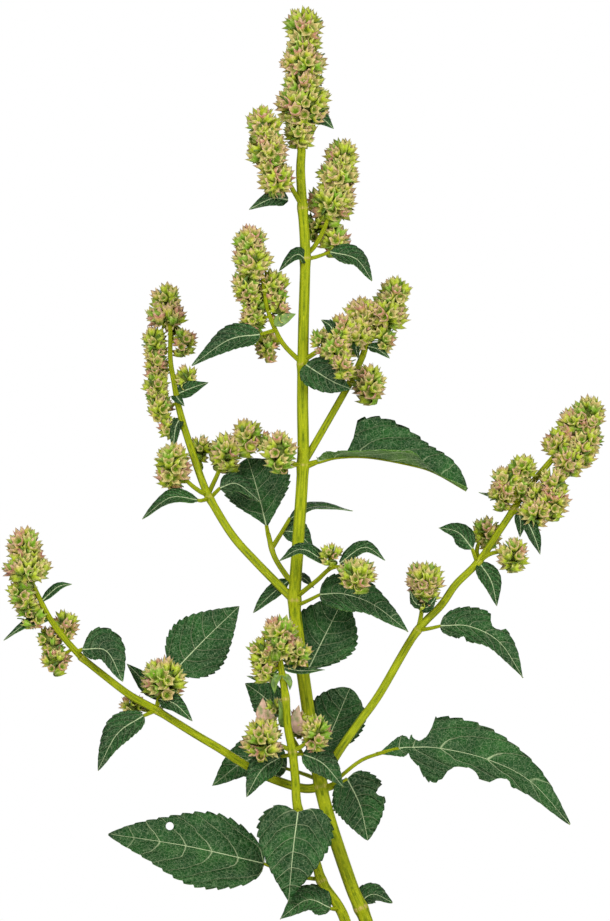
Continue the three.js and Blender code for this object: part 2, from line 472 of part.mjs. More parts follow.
// A toothed blade, folded along its midrib, with its petiole. Both faces have the same triangles.
function blade({ petiole = [], rib, width, face, teeth, fold = OVATE.fold, peak = OVATE.peak, wing = 0 }) {
  const curve = curveThrough(rib);
  const faceWards = vector(face).normalize();
  const positions = [];
  const place = (centre, tangent, reach, thickness) => {
    const side = faceWards.clone().cross(tangent).normalize();
    const normal = tangent.clone().cross(side);
    const middle = centre.clone().addScaledVector(side, reach * Math.cos(fold));
    middle.addScaledVector(normal, Math.abs(reach) * Math.sin(fold));
    for (const half of [0.5, -0.5]) {
      const point = middle.clone().addScaledVector(normal, half * thickness);
      positions.push(point.x, point.y, point.z);
    }
    return positions.length / 6 - 1;
  };
  const onBlade = (along, share) => {
    return place(curve.getPoint(along), curve.getTangent(along), share * width * 0.5, BLADE_THICKNESS);
  };
  const path = [...petiole, rib[0]].map(vector);
  const onPetiole = (index, reach) => {
    const tangent = path[index + 1].clone().sub(path[Math.max(0, index - 1)]).normalize();
    return place(path[index], tangent, reach, PETIOLE.thickness);
  };
  const neck = petiole.length ? PETIOLE.halfWidth / (width * 0.5) : 0;
  const stalk = petiole.map((point, index) => onPetiole(index, 0));
  const spine = [];
  for (let tooth = 0; tooth <= teeth; tooth += 1) spine.push(onBlade(tooth / teeth, 0));
  const faces = [];
  const rim = [];
  for (const hand of [1, -1]) {
    const margin = petiole.map((point, index) => onPetiole(index, hand * PETIOLE.halfWidth));
    const edge = [neck ? onBlade(0, hand * neck) : spine[0]];
    for (let index = 0; index < stalk.length; index += 1) {
      const [stalkNext, marginNext] = [stalk[index + 1] ?? spine[0], margin[index + 1] ?? edge[0]];
      faces.push([stalk[index], margin[index], marginNext, hand], [stalk[index], marginNext, stalkNext, hand]);
    }
    for (let tooth = 0; tooth < teeth; tooth += 1) {
      const peakAt = (tooth + TOOTH.tip) / teeth;
      edge.push(onBlade(peakAt, hand * (outlineAt(peakAt, peak, wing) * TOOTH.reach + TOOTH.lip)));
      const valleyAt = (tooth + 1) / teeth;
      const valleyShare = hand * outlineAt(valleyAt, peak, wing) * TOOTH.notch;
      edge.push(tooth === teeth - 1 ? spine[teeth] : onBlade(valleyAt - TOOTH.hook / teeth, valleyShare));
    }
    for (let tooth = 0; tooth < teeth; tooth += 1) {
      const [valley, tip, nextValley] = [edge[2 * tooth], edge[2 * tooth + 1], edge[2 * tooth + 2]];
      if (tooth > 0 || neck) faces.push([spine[tooth], valley, tip, hand]);
      faces.push([spine[tooth], tip, spine[tooth + 1], hand]);
      if (tooth < teeth - 1) faces.push([spine[tooth + 1], tip, nextValley, hand]);
    }
    const border = [...(neck ? [stalk[0]] : []), ...margin, ...edge];
    for (let step = 0; step + 1 < border.length; step += 1) rim.push([border[step], border[step + 1], hand]);
  }
  const triangles = [];
  for (const [a, b, c, hand] of faces) {
    const [p, q] = hand > 0 ? [b, c] : [c, b];
    triangles.push(2 * a, 2 * q, 2 * p, 2 * a + 1, 2 * p + 1, 2 * q + 1);
  }
  for (const [a, b, hand] of rim) {
    const [p, q] = hand > 0 ? [a, b] : [b, a];
    triangles.push(2 * p, 2 * q, 2 * q + 1, 2 * p, 2 * q + 1, 2 * p + 1);
  }
  const solid = solidOf(positions, triangles);
  return solid.volume() > 0 ? solid : solidOf(positions, triangles.slice().reverse());
}

// The height of the waist between two lobes of a spike
function waistBetween(lower, upper) {
  return lower[2] + ((upper[2] - lower[2]) * lower[4]) / (lower[4] + upper[4]);
}

// The rows of calyxes on a stack of egg-shaped lobes, as [x, y, z, radius], from the lowest up
function calyxRows(lobes) {
  const rows = [];
  lobes.forEach((lobe, index) => {
    const [x, y, z, reach, half] = lobe;
    const [below, above] = [lobes[index - 1], lobes[index + 1]];
    const flattest = SPIKE_ENDS.flattest;
    const polarAt = (height) => Math.acos(Math.min(flattest, Math.max(-flattest, (height - z) / half)));
    const from = below ? polarAt(waistBetween(below, lobe) + CALYX.rowStep / 3) : Math.PI * SPIKE_ENDS.bottom;
    const to = above ? polarAt(waistBetween(lobe, above) - CALYX.rowStep / 3) : Math.PI * SPIKE_ENDS.top;
    const slope = ((from - to) * (CALYX.valley * reach + half)) / 2;
    const steps = Math.max(below || above ? 1 : 2, Math.round(slope / CALYX.rowStep));
    for (let step = 0; step <= steps; step += 1) {
      const polar = from + ((to - from) * step) / steps;
      rows.push([x, y, z + half * Math.cos(polar), reach * Math.sin(polar)]);
    }
  });
  return rows;
}

// Whorls of pointed calyxes: a lattice on the lobes, with one point in three pushed out and up
function burr(lobes, random) {
  const widest = Math.max(...lobes.map((lobe) => lobe[3]));
  const columns = COLUMNS.find(({ from }) => widest > from).count;
  const valley = columns > 6 ? CALYX.valley : CALYX.narrowValley;
  const turn = random() * 2 * Math.PI;
  const [first, last] = [lobes[0], lobes[lobes.length - 1]];
  const positions = [first[0], first[1], first[2] - first[4]];
  const triangles = [];
  const rows = calyxRows(lobes);
  rows.forEach(([x, y, z, radius], row) => {
    for (let column = 0; column < columns; column += 1) {
      const order = (column - Math.floor(row / 2) - row + 3 * rows.length) % 3;
      const spike = order === 0;
      const share = (spike ? CALYX.reach : valley) * (1 + CALYX.spread * (random() - 0.5));
      const angle = turn + (2 * Math.PI * (column + 0.5 * (row % 2))) / columns;
      const rise = spike ? CALYX.rise * radius : 0;
      positions.push(x + radius * share * Math.cos(angle), y + radius * share * Math.sin(angle), z + rise);
    }
  });
  const top = positions.length / 3;
  positions.push(last[0], last[1], last[2] + last[4]);
  const at = (row, column) => 1 + row * columns + (column % columns);
  for (let column = 0; column < columns; column += 1) {
    triangles.push(0, at(0, column + 1), at(0, column));
    triangles.push(top, at(rows.length - 1, column), at(rows.length - 1, column + 1));
  }
  for (let row = 0; row + 1 < rows.length; row += 1) {
    for (let column = 0; column < columns; column += 1) {
      const [a, b] = [at(row, column), at(row, column + 1)];
      const [c, d] = [at(row + 1, column), at(row + 1, column + 1)];
      if (row % 2) triangles.push(a, b, d, a, d, c);
      else triangles.push(a, b, c, b, d, c);
    }
  }
  return solidOf(positions, triangles);
}

// The nearest point of a stalk to a whorl's centre
function nearestOn(points, centre) {
  const samples = curveThrough(points).getPoints(24);
  samples.sort((a, b) => a.distanceTo(centre) - b.distanceTo(centre));
  return samples[0];
}

// A short twig from the stalk to a whorl that stands beside it
function twig(points, [x, y, z]) {
  const centre = new THREE.Vector3(x, y, z);
  const root = nearestOn(points, centre);
  if (root.distanceTo(centre) < TWIG.shortest) return null;
  return tube([root.toArray(), centre.toArray()], [TWIG.radius, TWIG.radius], TWIG.sides);
}

// What each carrier takes out of the pieces that grow on it: itself, larger by the gap
function clearanceOf(name) {
  if (STEMS[name]) {
    const { on, points, radii } = STEMS[name];
    return tube(points, radii, on ? BRANCH_SIDES : STEM_SIDES, CLEARANCE.stem);
  }
  return tube(HEADS[name].stalk, STALK_RADII, THIN_SIDES, CLEARANCE.stalk);
}

function fittedTo(carrier, solid) {
  return largestBody(carrier ? solid.subtract(clearanceOf(carrier)) : solid);
}

function stem(name) {
  const { on, points, radii, stalks = [], blades = [] } = STEMS[name];
  const pieces = [tube(points, radii, on ? BRANCH_SIDES : STEM_SIDES)];
  for (const stalk of stalks) pieces.push(tube(stalk, THIN_RADII, THIN_SIDES));
  for (const one of blades) pieces.push(blade(one));
  return fittedTo(on, wasm.Manifold.union(pieces));
}

function head(name) {
  const { on, stalk, spikes = [], whorls = [], blades = [] } = HEADS[name];
  const random = randomFor(name);
  const pieces = [tube(stalk, STALK_RADII, THIN_SIDES)];
  for (const lobes of [...spikes, ...whorls.map((lobe) => [lobe])]) {
    pieces.push(burr(lobes, random));
    const link = twig(stalk, lobes[0]);
    if (link) pieces.push(link);
  }
  for (const one of blades) pieces.push(blade(one));
  return fittedTo(on, wasm.Manifold.union(pieces));
}

function leaf(name) {
  return fittedTo(LEAVES[name].on, blade(LEAVES[name]));
}

function cylinder(radius, bottom, top, x, y) {
  const geometry = new THREE.CylinderGeometry(radius, radius, top - bottom, DRAIN.sides);
  geometry.rotateX(Math.PI / 2);
  geometry.translate(x, y, (bottom + top) / 2);
  return solidOfGeometry(geometry);
}

// The pot's inner radius at a height
function innerRadius(height) {
  const share = (height - POT.floor) / (POT.height - POT.bevel - POT.floor);
  return POT.floorRadius + (POT.lip - POT.floorRadius) * share;
}

function pot() {
  const { height, foot, shoulder, rim, lip, floor, floorRadius, bevel } = POT;
  const rimFrom = height - POT.rimDrop;
  const profile = [[0, 0], [foot - bevel, 0], [foot, bevel], [shoulder, rimFrom], [rim - bevel, rimFrom],
    [rim, rimFrom + bevel], [rim + 1, height - bevel], [rim - bevel, height], [lip + bevel, height],
    [lip, height - bevel], [floorRadius, floor], [0, floor]];
  const lathe = new THREE.LatheGeometry(profile.map(([r, z]) => new THREE.Vector2(r, z)), ROUND_SIDES);
  lathe.rotateX(Math.PI / 2);
  let solid = solidOfGeometry(lathe);
  for (let hole = 0; hole < DRAIN.count; hole += 1) {
    const angle = ((hole + 0.5) * 2 * Math.PI) / DRAIN.count;
    const [x, y] = [DRAIN.ring * Math.cos(angle), DRAIN.ring * Math.sin(angle)];
    solid = solid.subtract(cylinder(DRAIN.radius, -DRAIN.over, POT.floor + DRAIN.over, x, y));
  }
  return solid;
}

// Soil with a lumpy top, and a plain hole for each stem that stands in it
function soil() {
  const random = randomFor('soil');
  const positions = [0, 0, SOIL.top];
  const triangles = [];
  const edge = innerRadius(SOIL.top) - SOIL.clear;
  for (let ring = 1; ring <= SOIL.rings; ring += 1) {
    for (let spoke = 0; spoke < ROUND_SIDES; spoke += 1) {
      const angle = (2 * Math.PI * spoke) / ROUND_SIDES;
      const radius = (edge * ring) / SOIL.rings;
      const lump = ring === SOIL.rings ? 0 : SOIL.lumps * (random() - 0.5);
      positions.push(radius * Math.cos(angle), radius * Math.sin(angle), SOIL.top + lump);
    }
  }
  const base = innerRadius(SOIL.bottom) - SOIL.clear;
  for (let spoke = 0; spoke < ROUND_SIDES; spoke += 1) {
    const angle = (2 * Math.PI * spoke) / ROUND_SIDES;
    positions.push(base * Math.cos(angle), base * Math.sin(angle), SOIL.bottom);
  }
  positions.push(0, 0, SOIL.bottom);
  const centre = positions.length / 3 - 1;
  const at = (ring, spoke) => 1 + (ring - 1) * ROUND_SIDES + (spoke % ROUND_SIDES);
  for (let spoke = 0; spoke < ROUND_SIDES; spoke += 1) {
    triangles.push(0, at(1, spoke), at(1, spoke + 1));
    for (let ring = 1; ring <= SOIL.rings; ring += 1) {
      const [a, b] = [at(ring, spoke), at(ring, spoke + 1)];
      triangles.push(a, a + ROUND_SIDES, b + ROUND_SIDES, a, b + ROUND_SIDES, b);
    }
    triangles.push(centre, at(SOIL.rings + 1, spoke + 1), at(SOIL.rings + 1, spoke));
  }
  let solid = solidOf(positions, triangles);
  for (const name of ['main_stem', 'front_stem']) {
    const { points, radii } = STEMS[name];
    const [foot, collar] = points;
    const above = [collar[0], collar[1], collar[2] + SOIL.mouth];
    solid = solid.subtract(tube([foot, collar, above], [radii[0], radii[0]], STEM_SIDES, CLEARANCE.hole));
  }
  return largestBody(solid);
}

const plant = new THREE.Group();

function add(name, solid, look) {
  const material = new THREE.MeshStandardMaterial({ ...look, metalness: 0, flatShading: true });
  const mesh = new THREE.Mesh(geometryOf(solid), material);
  mesh.name = name;
  plant.add(mesh);
}

add('pot', pot(), CLAY);
add('soil', soil(), EARTH);
for (const name of Object.keys(STEMS)) add(name, stem(name), STEM_GREEN);
for (const name of Object.keys(HEADS)) add(name, head(name), HEAD_GREEN);
for (const name of Object.keys(LEAVES)) add(name, leaf(name), LEAF_GREEN);

export default plant;
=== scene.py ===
"""Dresses the potted shrub mint: clay pot, soil, ribbed stems, veined leaves and whorls of calyxes."""

import math
import random

import bpy
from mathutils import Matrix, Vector


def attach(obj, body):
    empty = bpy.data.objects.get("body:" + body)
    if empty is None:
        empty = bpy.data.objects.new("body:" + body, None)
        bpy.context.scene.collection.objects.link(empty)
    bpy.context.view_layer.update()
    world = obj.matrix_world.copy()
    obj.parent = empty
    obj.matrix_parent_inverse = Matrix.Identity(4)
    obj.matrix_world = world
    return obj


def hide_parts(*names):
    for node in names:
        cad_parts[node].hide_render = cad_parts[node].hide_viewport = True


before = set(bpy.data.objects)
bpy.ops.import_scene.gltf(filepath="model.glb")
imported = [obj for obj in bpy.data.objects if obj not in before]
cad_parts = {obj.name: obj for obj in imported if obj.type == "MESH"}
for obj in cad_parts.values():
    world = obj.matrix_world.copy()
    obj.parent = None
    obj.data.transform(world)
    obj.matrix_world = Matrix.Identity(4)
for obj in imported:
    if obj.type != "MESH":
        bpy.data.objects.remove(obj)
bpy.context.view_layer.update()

# The clay pot is thrown and fired: a tapering wall with a thick rim, a flat foot and four drain holes.
# The photograph ends above it, so it is a plain garden pot of a common size, with lime and soil stains.
# Sizes are in millimetres, except the studio's. Each ring of the pot is a radius and a level.
MM = 0.001
POT_FOOT = 49
POT_OUTSIDE = [(52, 3), (71.5, 102), (76, 102), (79, 105), (80, 127), (77, 130)]
POT_INSIDE = [(75, 130), (72, 127), (46, 10)]
POT_SIDES = 96
DRAIN_HOLES = 4
DRAIN_RING = 26
DRAIN_RADIUS = 5
DRAIN_SIDES = 32
DRAIN_LEVEL = 5
DRAIN_CUT = 20
WORN_WIDTH = 1.2
WORN_STEPS = 3
WORN_ANGLE = math.radians(25)
SMOOTH_ANGLE = math.radians(40)
CLAY = (0.43, 0.155, 0.065)
CLAY_DARK = (0.28, 0.09, 0.038)
CLAY_LIME = (0.58, 0.4, 0.29)
DAMP_HEIGHT = 45
DAMP_SHARE = 0.55
GRAIN_SHARE = 0.4


def new_material(name, roughness, shine=0.5):
    """A material with its node tree and its shader"""
    material = bpy.data.materials.new(name)
    material.use_nodes = True
    shader = material.node_tree.nodes["Principled BSDF"]
    shader.inputs["Roughness"].default_value = roughness
    shader.inputs["Specular IOR Level"].default_value = shine
    return material, material.node_tree, shader


def join(tree, value, socket):
    """Links an output to an input, or writes a plain value or colour into it"""
    if isinstance(value, bpy.types.NodeSocket):
        tree.links.new(value, socket)
    elif socket.type == "RGBA":
        socket.default_value = (*value, 1)
    else:
        socket.default_value = value


def node(tree, kind, **settings):
    """A shader node: plain words are its properties, and _3 or _Name is an input's value or link"""
    made = tree.nodes.new(kind)
    for key, value in settings.items():
        if key.startswith("_"):
            name = key[1:].replace("_", " ")
            join(tree, value, made.inputs[int(name) if name.isdigit() else name])
        else:
            setattr(made, key, value)
    return made


def noise(tree, place, scale, detail, roughness=0.5):
    """The value of a cloudy pattern at a place"""
    made = node(
        tree, "ShaderNodeTexNoise", _Vector=place, _Scale=scale, _Detail=detail, _Roughness=roughness
    )
    return made.outputs["Fac"]


def calc(tree, operation, *values):
    """The result of one step of arithmetic on outputs and plain values"""
    made = node(tree, "ShaderNodeMath", operation=operation)
    for socket, value in zip(made.inputs, values):
        join(tree, value, socket)
    return made.outputs[0]


def ramp(tree, factor, stops):
    """A colour ramp through the (place, colour) stops"""
    made = node(tree, "ShaderNodeValToRGB", _Fac=factor)
    elements = made.color_ramp.elements
    while len(elements) < len(stops):
        elements.new(0.5)
    for element, (place, colour) in zip(elements, stops):
        element.position = place
        element.color = (*colour, 1)
    return made.outputs["Color"]


def mixed(tree, factor, first, second, blend="MIX"):
    """A mix of two colours, each an output or a plain colour"""
    settings = dict(data_type="RGBA", blend_type=blend, _0=factor, _6=first, _7=second)
    return node(tree, "ShaderNodeMix", **settings).outputs[2]


def cover(tree, shader, colour, height, strength, distance):
    """Gives a shader its colour, and lets a height drive its normal"""
    bump = node(tree, "ShaderNodeBump", _Strength=strength, _Distance=distance, _Height=height)
    tree.links.new(colour, shader.inputs["Base Color"])
    tree.links.new(bump.outputs["Normal"], shader.inputs["Normal"])


def clay_finish():
    """Fired clay with throwing rings, dark blotches, and lime that has climbed from the foot"""
    material, tree, shader = new_material("fired_clay", 0.85)
    place = tree.nodes.new("ShaderNodeTexCoord").outputs["Object"]
    blotches = noise(tree, place, scale=28, detail=5, roughness=0.6)
    grain = noise(tree, place, scale=900, detail=3)
    wave = dict(bands_direction="Z", _Vector=place, _Scale=70, _Distortion=4, _Detail=3)
    rings = node(tree, "ShaderNodeTexWave", **wave).outputs["Fac"]
    height = node(tree, "ShaderNodeSeparateXYZ", _0=place).outputs["Z"]
    rising = dict(_0=height, _1=0.0, _2=DAMP_HEIGHT * MM, _3=DAMP_SHARE, _4=0.0)
    damp = node(tree, "ShaderNodeMapRange", **rising).outputs[0]
    colour = ramp(tree, blotches, [(0.3, CLAY_DARK), (0.55, CLAY), (0.8, CLAY_LIME)])
    colour = mixed(tree, calc(tree, "MULTIPLY", damp, blotches), colour, CLAY_LIME)
    relief = calc(tree, "MULTIPLY_ADD", grain, GRAIN_SHARE, rings)
    cover(tree, shader, colour, relief, strength=0.2, distance=0.5 * MM)
    return material


def select_only(piece):
    bpy.ops.object.select_all(action="DESELECT")
    piece.select_set(True)
    bpy.context.view_layer.objects.active = piece


def cut(piece, cutter, name):
    """Cuts away what the cutter fills of a piece, and removes the cutter"""
    select_only(piece)
    hole = piece.modifiers.new(name, "BOOLEAN")
    hole.operation = "DIFFERENCE"
    hole.object = cutter
    bpy.ops.object.modifier_apply(modifier=hole.name)
    bpy.data.objects.remove(cutter)


def set_piece(piece, slot, *nodes):
    """Lets a finished piece stand for its CAD nodes"""
    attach(piece, "root")
    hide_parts(*nodes)


def make_pot():
    bpy.ops.object.select_all(action="DESELECT")
    bpy.ops.mesh.primitive_circle_add(vertices=POT_SIDES, radius=POT_FOOT * MM, fill_type="NGON")
    pot = bpy.context.object
    pot.name = "clay_pot"
    bpy.ops.object.mode_set(mode="EDIT")
    radius, level = POT_FOOT, 0
    for next_radius, next_level in [*POT_OUTSIDE, *POT_INSIDE]:
        rise = (0, 0, (next_level - level) * MM)
        bpy.ops.mesh.extrude_region_move(TRANSFORM_OT_translate={"value": rise})
        share = next_radius / radius
        bpy.ops.transform.resize(value=(share, share, 1), center_override=(0, 0, next_level * MM))
        radius, level = next_radius, next_level
    bpy.ops.mesh.select_all(action="SELECT")
    bpy.ops.mesh.normals_make_consistent(inside=False)
    bpy.ops.object.mode_set(mode="OBJECT")
    for hole in range(DRAIN_HOLES):
        angle = 2 * math.pi * (hole + 0.5) / DRAIN_HOLES
        place = (DRAIN_RING * MM * math.cos(angle), DRAIN_RING * MM * math.sin(angle), DRAIN_LEVEL * MM)
        bpy.ops.mesh.primitive_cylinder_add(
            vertices=DRAIN_SIDES, radius=DRAIN_RADIUS * MM, depth=DRAIN_CUT * MM, location=place
        )
        cut(pot, bpy.context.object, "drain")
    soften = pot.modifiers.new("worn_edges", "BEVEL")
    soften.width = WORN_WIDTH * MM
    soften.segments = WORN_STEPS
    soften.angle_limit = WORN_ANGLE
    bpy.ops.object.modifier_apply(modifier=soften.name)
    bpy.ops.object.shade_smooth_by_angle(angle=SMOOTH_ANGLE)
    pot.data.materials.append(clay_finish())
    set_piece(pot, "clay", "pot")


make_pot()

# Potting soil fills the pot to 15 mm under the rim: a settled, uneven bed of moist crumbs,
# with loose clods, bits of bark and a few pale grains pressed into its top.
SOIL_SEED = 31
SOIL_LEVEL = 115
SOIL_EDGE = 69
SOIL_FOOT = 45
SOIL_FLOOR = 10.5
SOIL_RINGS = 26
SOIL_SPOKES = 120
SOIL_LUMPS = (-0.5, 0.6)
SOIL_SWELL = 0.7
EDGE_DROP = 1.2
SOIL_MAP = 160
SOIL_TONE = 0.3
CRUMBS = 620
CRUMB_REACH = 67
CRUMB_SIZES = [0.7, 0.9, 1.2, 1.6, 2.4]
CRUMB_CORNERS = (0.7, 1.25)
CRUMB_SEAT = 0.3
SOIL_BROWN = (0.045, 0.028, 0.018)
SOIL_DRY = (0.13, 0.085, 0.055)
BARK = (0.2, 0.11, 0.05)
GRAIN_PALE = (0.55, 0.5, 0.42)
BITS_SHARE = 0.35


class Shape:
    """Points, faces, texture places and finish numbers of a piece, gathered before they become its mesh"""

    def __init__(self):
        self.points, self.faces, self.places, self.tones, self.finishes = [], [], [], [], []

    def add(self, points, faces, places, tones, finish=0):
        start = len(self.points)
        self.points.extend(points)
        self.places.extend(places)
        self.tones.extend(tones)
        for face in faces:
            self.faces.append([start + corner for corner in face])
            self.finishes.append(finish)

    def become(self, name, materials, slot, *nodes, smooth=True):
        """Makes the mesh object in metres, with a UV map of its places and an attribute of its tones"""
        mesh = bpy.data.meshes.new(name)
        mesh.from_pydata([Vector(point) * MM for point in self.points], [], self.faces)
        for material in materials:
            mesh.materials.append(material)
        mesh.polygons.foreach_set("material_index", self.finishes)
        mesh.polygons.foreach_set("use_smooth", [smooth] * len(self.faces))
        uv = mesh.uv_layers.new(name="UVMap")
        corners = [0] * len(mesh.loops)
        mesh.loops.foreach_get("vertex_index", corners)
        uv.data.foreach_set("uv", [value for corner in corners for value in self.places[corner]])
        tone = mesh.attributes.new("tone", "FLOAT", "POINT")
        tone.data.foreach_set("value", self.tones)
        mesh.update()
        piece = bpy.data.objects.new(name, mesh)
        bpy.context.scene.collection.objects.link(piece)
        set_piece(piece, slot, *nodes)
        return piece


def soil_finish():
    material, tree, shader = new_material("moist_soil", 0.95)
    place = tree.nodes.new("ShaderNodeTexCoord").outputs["Object"]
    clods = noise(tree, place, scale=160, detail=8, roughness=0.7)
    specks = node(tree, "ShaderNodeTexVoronoi", _Vector=place, _Scale=420).outputs["Color"]
    earth = ramp(tree, clods, [(0.35, SOIL_BROWN), (0.7, SOIL_DRY)])
    bits = ramp(tree, specks, [(0.0, SOIL_BROWN), (0.8, SOIL_BROWN), (0.86, BARK), (0.97, GRAIN_PALE)])
    colour = mixed(tree, BITS_SHARE, earth, bits)
    cover(tree, shader, colour, clods, strength=0.9, distance=2 * MM)
    return material


def taken_apart(piece):
    """The corners and faces of a shape that is modelled once and then repeated"""
    points = [vertex.co.copy() for vertex in piece.data.vertices]
    faces = [list(polygon.vertices) for polygon in piece.data.polygons]
    bpy.data.objects.remove(piece)
    return points, faces


def add_crumb(shape, rand, ball, centre, size):
    """Adds a clod of soil: a small ball with its corners pushed about"""
    corners, faces = ball
    points = [centre + corner * size * rand.uniform(*CRUMB_CORNERS) for corner in corners]
    tone = rand.random()
    shape.add(points, faces, [(tone, tone)] * len(points), [tone] * len(points))


def make_soil():
    rand = random.Random(SOIL_SEED)
    shape = Shape()
    turns = [2 * math.pi * spoke / SOIL_SPOKES for spoke in range(SOIL_SPOKES)]
    points, places, faces = [Vector((0, 0, SOIL_LEVEL))], [(0.5, 0.5)], []
    for ring in range(1, SOIL_RINGS + 1):
        reach = SOIL_EDGE * ring / SOIL_RINGS
        drop = EDGE_DROP if ring == SOIL_RINGS else 0
        for turn in turns:
            swell = SOIL_SWELL * math.sin(3 * turn + ring / 4) * math.sin(ring / 5)
            level = SOIL_LEVEL + (rand.uniform(*SOIL_LUMPS) + swell) - drop
            points.append(Vector((reach * math.cos(turn), reach * math.sin(turn), level)))
            places.append((0.5 + points[-1].x / SOIL_MAP, 0.5 + points[-1].y / SOIL_MAP))
    for turn in turns:
        points.append(Vector((SOIL_FOOT * math.cos(turn), SOIL_FOOT * math.sin(turn), SOIL_FLOOR)))
        places.append((0.5, 0.5))
    foot = 1 + SOIL_RINGS * SOIL_SPOKES
    for spoke in range(SOIL_SPOKES):
        beside = (spoke + 1) % SOIL_SPOKES
        faces.append([0, 1 + spoke, 1 + beside])
        for start in range(1, foot, SOIL_SPOKES):
            here, after = start + spoke, start + beside
            faces.append([here, here + SOIL_SPOKES, after + SOIL_SPOKES, after])
    faces.append([foot + spoke for spoke in reversed(range(SOIL_SPOKES))])
    shape.add(points, faces, places, [SOIL_TONE] * len(points))
    bpy.ops.object.select_all(action="DESELECT")
    bpy.ops.mesh.primitive_ico_sphere_add(subdivisions=1, radius=1)
    ball = taken_apart(bpy.context.object)
    for _ in range(CRUMBS):
        reach, turn = CRUMB_REACH * math.sqrt(rand.random()), rand.uniform(0, 2 * math.pi)
        size = rand.choice(CRUMB_SIZES)
        centre = Vector((reach * math.cos(turn), reach * math.sin(turn), SOIL_LEVEL + CRUMB_SEAT * size))
        add_crumb(shape, rand, ball, centre, size)
    shape.become("potting_soil", [soil_finish()], "soil", "soil", smooth=False)


make_soil()

# The stems are square, ribbed and juicy, as all mints have them, yellow-green with painted shade in olive
# and painted highlights in yellow in bands round them. They grow from the soil as two stems, fork at
# swollen nodes, and carry a pale scar where leaves sit.

# Each stem has its route, its radii at its foot and its tip, and the levels of its nodes.
STEMS = {
    "main_stem": dict(
        points=[
            [21, 0, 89], [19, 0, 115], [13, 0, 140], [8, 0, 159.5], [2, 0, 173.5], [-2.5, 0, 186],
            [-9, 0, 205.5], [-12.6, 0, 218], [-14.8, 0, 228], [-18.5, 0, 247.5], [-21.5, 0, 269],
            [-26.3, 0, 303.5], [-27.7, 0, 320.5], [-25.9, 0, 349.5], [-23.5, 0, 388.5], [-23.7, 0, 421],
            [-23.3, 0, 455], [-22.4, 0, 492.5], [-23.7, 0, 516], [-24.7, 0, 534], [-24.2, 0, 545],
        ],
        radii=[3.6, 2.25], taper=3, nodes=[166, 227, 320, 387.5, 438, 491, 516],
    ),
    "front_stem": dict(
        points=[
            [10, -10, 89], [9, -9, 115], [2.5, -7.5, 142.5], [-2.3, -7, 159.5], [-6.3, -8, 168],
            [-13.8, -9, 179], [-17.5, -10.5, 190.5], [-25.8, -14, 215], [-27.3, -17, 231],
            [-28.8, -20, 245], [-31, -23, 256.5], [-32, -26, 270.5], [-34, -28.5, 284],
        ],
        radii=[3.2, 1.9], nodes=[180, 214.5, 245, 271.5],
    ),
    "left_upper_branch": dict(
        points=[
            [-27.7, 0, 319.5], [-47, 5, 339], [-59, 9, 352.5], [-69.8, 14, 370], [-73.7, 17, 378.5],
            [-78.3, 22, 391.5], [-83.4, 28.7, 407],
        ],
        radii=[2.3, 1.9], nodes=[371],
    ),
    "left_lower_branch": dict(
        points=[
            [-14.4, 0, 226.5], [-24, -2, 226], [-40.5, -7, 231.5], [-52.5, -11, 238], [-65, -15, 246],
            [-77.5, -19, 253.5], [-96.5, -26, 265.5], [-109.5, -31, 273], [-122.5, -36, 283],
            [-134, -40.5, 292.3],
        ],
        radii=[2.5, 1.8], nodes=[265.5, 292],
    ),
    "right_branch": dict(
        points=[
            [-14.8, 0, 228.5], [-6, 4, 243.5], [4.5, 8, 258.5], [15, 12, 273], [32.5, 20, 302.5],
            [45.8, 25, 317], [53.3, 28, 327.5], [64.8, 32, 339], [74.7, 36, 353.5], [82.4, 39, 365],
            [87.7, 41, 373.5], [97.7, 44, 385.3],
        ],
        radii=[2.4, 1.7], nodes=[304.5, 338.7, 365],
    ),
    "upper_right_branch": dict(
        points=[
            [-23.5, 0, 388], [-17, 4.5, 399], [-3.5, 12, 422.5], [2.5, 17, 433.5], [6.6, 21, 442.5],
        ],
        radii=[2, 1.7], nodes=[429],
    ),
    "back_shoot": dict(
        points=[[-27, 0, 324.5], [-28.2, 5.3, 327.8], [-32.5, 9, 333], [-38, 13, 342], [-41, 17, 353]],
        radii=[1.7, 1.3], nodes=[346],
        stalks=[[[-39, 14.5, 346], [-34, 16, 354], [-30, 17, 361]]],
        blades=[
            dict(rib=[[-30.5, 17, 360], [-18, 18, 366.5], [1.5, 19, 364.5]],
                 width=9, face=[0, -0.5, 0.9], teeth=5),
            dict(rib=[[-34, 16.5, 354.5], [-26, 20, 353], [-18.5, 21, 345.5]],
                 width=14, face=[0.1, -0.9, 0.3], teeth=4),
            dict(rib=[[-29, 6, 329], [-24, 9, 331], [-18, 9, 326]],
                 width=8, face=[0, -0.6, 0.8], teeth=3),
            dict(rib=[[-30, 7, 330], [-40, 8, 322], [-48.5, 8, 313.5]],
                 width=10, face=[-0.1, -0.7, 0.7], teeth=5),
        ],
    ),
}
STEM_SIDES = 24
STEM_STEP = 1.6
STEM_MAP_LENGTH = 100
RIB_HEIGHT = 0.08
GROOVE_SHARE = 0.45
STALK_SIDES = 10
STALK_STEP = 2.2
STALK_RADII = (1.35, 0.9)
NODE_SWELL = 0.16
NODE_LENGTH = 2.6
LEAST_CLIMB = 0.4
STEM_GREEN = (0.155, 0.2, 0.0025)
STEM_HIGHLIGHT = (0.29, 0.32, 0.006)
STEM_SHADE = (0.045, 0.07, 0.001)
NODE_TAN = (0.42, 0.3, 0.1)
JUICY_SHINE = 0.07


